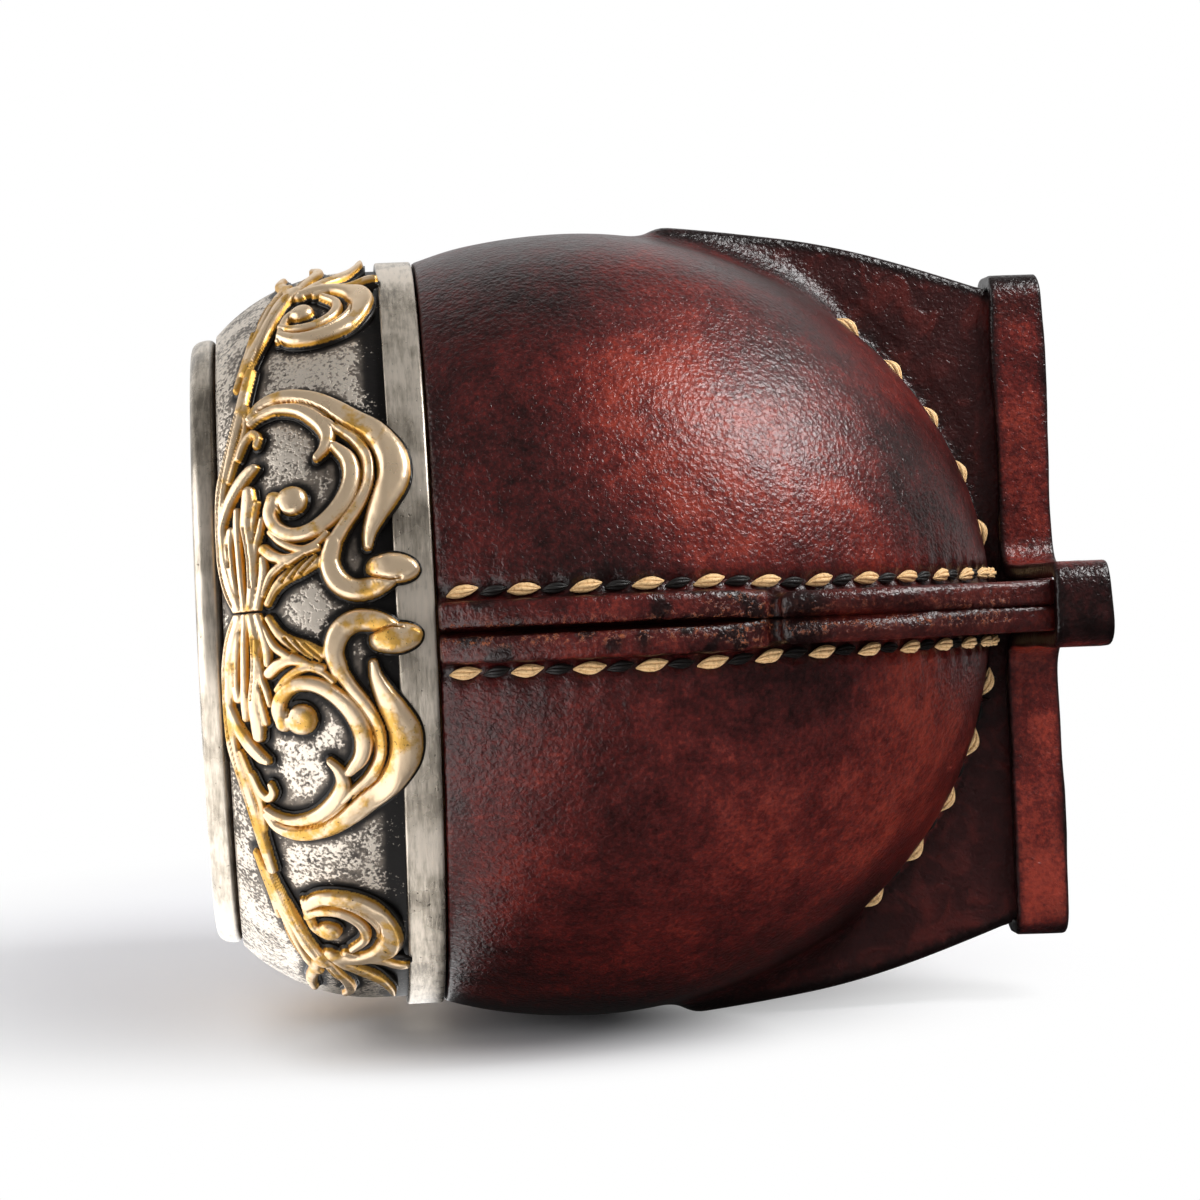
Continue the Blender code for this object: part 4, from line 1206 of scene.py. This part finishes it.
def rowPath(kind, side, end):
    # points down the foot of a seam edge or a side fin, in millimetres, with the way out of the leather
    start, rise = ((cup["jointHeight"] - stitching["rowStart"], cup["upperRise"]) if kind == "seam"
                   else (stitching["sideRowHeight"], cup["lowerRise"]))
    first = math.asin((start - cup["bellyHeight"]) / rise)
    points = []
    for angle in np.linspace(first, -math.pi / 2, stitching["rowPoints"]):
        radius, height = ballPoint(angle, -stitching["rowLift"])
        across = (weltHalf(height) if kind == "seam" else cover["finHalfThickness"]) + cover["rowOffset"]
        if radius > stitching[kind + "End"]:
            out = math.sqrt(radius ** 2 - across ** 2)
            points.append((side * across, -end * out, height) if kind == "seam"
                          else (side * out, -end * across, height))
    points = np.array(points)
    z = points[:, 2] - cup["bellyHeight"]
    rises = np.where(z > 0, cup["upperRise"], cup["lowerRise"])
    outward = np.stack([points[:, 0] / cup["ballRadius"] ** 2, points[:, 1] / cup["ballRadius"] ** 2,
                        z / rises ** 2], 1)
    return points, outward / np.linalg.norm(outward, axis=1)[:, None]


def makeStitches():
    tree = stitchTree()
    shapes = {word: stitchShape(word + "StitchShape", *stitching[word]) for word in ("light", "dark")}
    for kind in ("seam", "fin"):
        for side, sideWord in sides:
            for end, endWord in ((1, "front"), (-1, "back")):
                points, outward = rowPath(kind, side, end)
                mesh = wire("rowPath", points)
                layer = mesh.attributes.new("outward", "FLOAT_VECTOR", "POINT")
                layer.data.foreach_set("vector", outward.astype(np.float32).ravel())
                name = f"stitches{kind.title()}{endWord.title()}{sideWord.title()}"
                piece = linked(name, mesh)
                slant = math.radians(stitching["slant"]) * end * (1 if kind == "seam" else -side)
                mesh = runTree(piece, tree, {
                    "Light Stitch": shapes["light"], "Dark Stitch": shapes["dark"],
                    "Step": cover["pitch"] / 2 * mm, "Slant": slant,
                    "Jitter": math.radians(stitching["jitter"]), "Seed": 11 + side * 3 + end,
                    "Light Thread": tanThread, "Dark Thread": blackThread})
                mesh.shade_smooth()
                words = (endWord, sideWord) if kind == "seam" else (sideWord, endWord)
                settle(piece, "_".join(("stitch", kind, *words)))
                print(name, len(mesh.polygons))
    for shape in shapes.values():
        bpy.data.objects.remove(shape)


makeStitches()
print("stitches sewn")

# Foot strip
strip = {
    "lift": 0.15,
    "height": 6.4,
    "thickness": 1.7,
    "endRadius": 3.0,
    "cornerRadius": 3.4,
    "edgeRadius": 0.5,
    "spacing": 0.6,
    "lowest": 0.05,
    "highest": 6.7,
    "edgeWave": 0.16,
    "edgeWaves": (2.0, 3.2),
    "faceWave": 0.10,
    "darkEdge": (2.5, 3.15),
    "darkEnds": (38.2, 39.6),
}


def crossLine(reach, half, endRadius, cornerRadius):
    quarter = math.pi / 2
    middle = half + cornerRadius
    arm = [(x + radius * math.cos(start + sweep * share), y + radius * math.sin(start + sweep * share))
           for x, y, radius, start, sweep in (
               (reach - endRadius, endRadius - half, endRadius, -quarter, quarter),
               (reach - endRadius, half - endRadius, endRadius, 0, quarter),
               (middle, middle, cornerRadius, -quarter, -quarter))
           for share in np.linspace(0, 1, 9)]
    turns = [(math.cos(number * quarter), math.sin(number * quarter)) for number in range(4)]
    return [(c * x - s * y, s * x + c * y) for c, s in turns for x, y in arm]


def stripTree():
    # sweeps a rounded flat section along a closed path
    tree, add, given = newTree("bendStrip", "Strip", {"Section": "Object", "Spacing": "Float",
                                                      "Leather": "Material"})
    line = add("GeometryNodeMeshToCurve", [given["Path"]])
    even = add("GeometryNodeResampleCurve", {"Curve": line, "Length": given["Spacing"]}, mode="LENGTH")
    level = add("GeometryNodeSetCurveNormal", {0: even}, mode="Z_UP")
    shape = add("GeometryNodeObjectInfo", {"Object": given["Section"]}).outputs["Geometry"]
    ring = add("GeometryNodeMeshToCurve", [shape])
    swept = add("GeometryNodeCurveToMesh", {"Curve": level, "Profile Curve": ring})
    real = add("GeometryNodeRealizeInstances", {0: swept})
    dressed = add("GeometryNodeSetMaterial", {"Geometry": real, "Material": given["Leather"]})
    add("NodeGroupOutput", {0: dressed})
    return tree


def makeFootStrip():
    halfThick, halfHigh = strip["thickness"] / 2, strip["height"] / 2
    inner = cover["finHalfThickness"] + cup["gap"]
    middle = strip["lift"] + halfHigh
    line = crossLine(cover["footRadius"] + halfThick, inner + halfThick, strip["endRadius"] - halfThick,
                     strip["cornerRadius"] + halfThick)
    corners = [(-halfThick, -halfHigh), (halfThick, -halfHigh), (halfThick, halfHigh), (-halfThick, halfHigh)]
    section = subdivided(rounded(corners, strip["edgeRadius"], 4), strip["spacing"])
    sectionPiece = linked("stripSection", wire("stripSection", [(x, y, 0) for x, y in section], True))
    piece = linked("footStrip", wire("stripPath", [(x, y, middle) for x, y in line], True))
    mesh = runTree(piece, stripTree(), {"Section": sectionPiece, "Spacing": strip["spacing"] * mm,
                                        "Leather": leather})
    weld(mesh, True)
    points = readPoints(mesh)
    fromMiddle = np.abs(points[:, 2] - middle)
    points[:, 2] += strip["edgeWave"] * wander(points, 9, 21) * fade(fromMiddle, *strip["edgeWaves"])
    points[:, :2] += (strip["faceWave"] * wander(points, 12, 22))[:, None]
    points[:, 2] = np.clip(points[:, 2], strip["lowest"], strip["highest"])
    writePoints(mesh, points)
    x = points[:, 0]
    ends = fade(np.max(np.abs(points[:, :2]), axis=1), *strip["darkEnds"])
    edge = fade(np.abs(points[:, 2] - middle), *strip["darkEdge"])
    patches = 0.3 * np.clip(wander(points, 7, 23), 0, 1) + 0.6 * fade(x + 2 * wander(points, 6, 24), 32, 37)
    storeValues(mesh, {
        "burnishAndShade": np.clip(0.75 * edge + 0.45 * ends + patches, 0, 1),
        "fold": np.zeros(len(points)),
        "red": (0.55 + 0.35 * fade(x, 5, -15)) * (1 - edge) * (1 - ends),
    })
    mesh.shade_smooth()
    bpy.data.objects.remove(sectionPiece)
    settle(piece, "foot_strip")
    print("foot strip", len(mesh.polygons), "faces")


makeFootStrip()

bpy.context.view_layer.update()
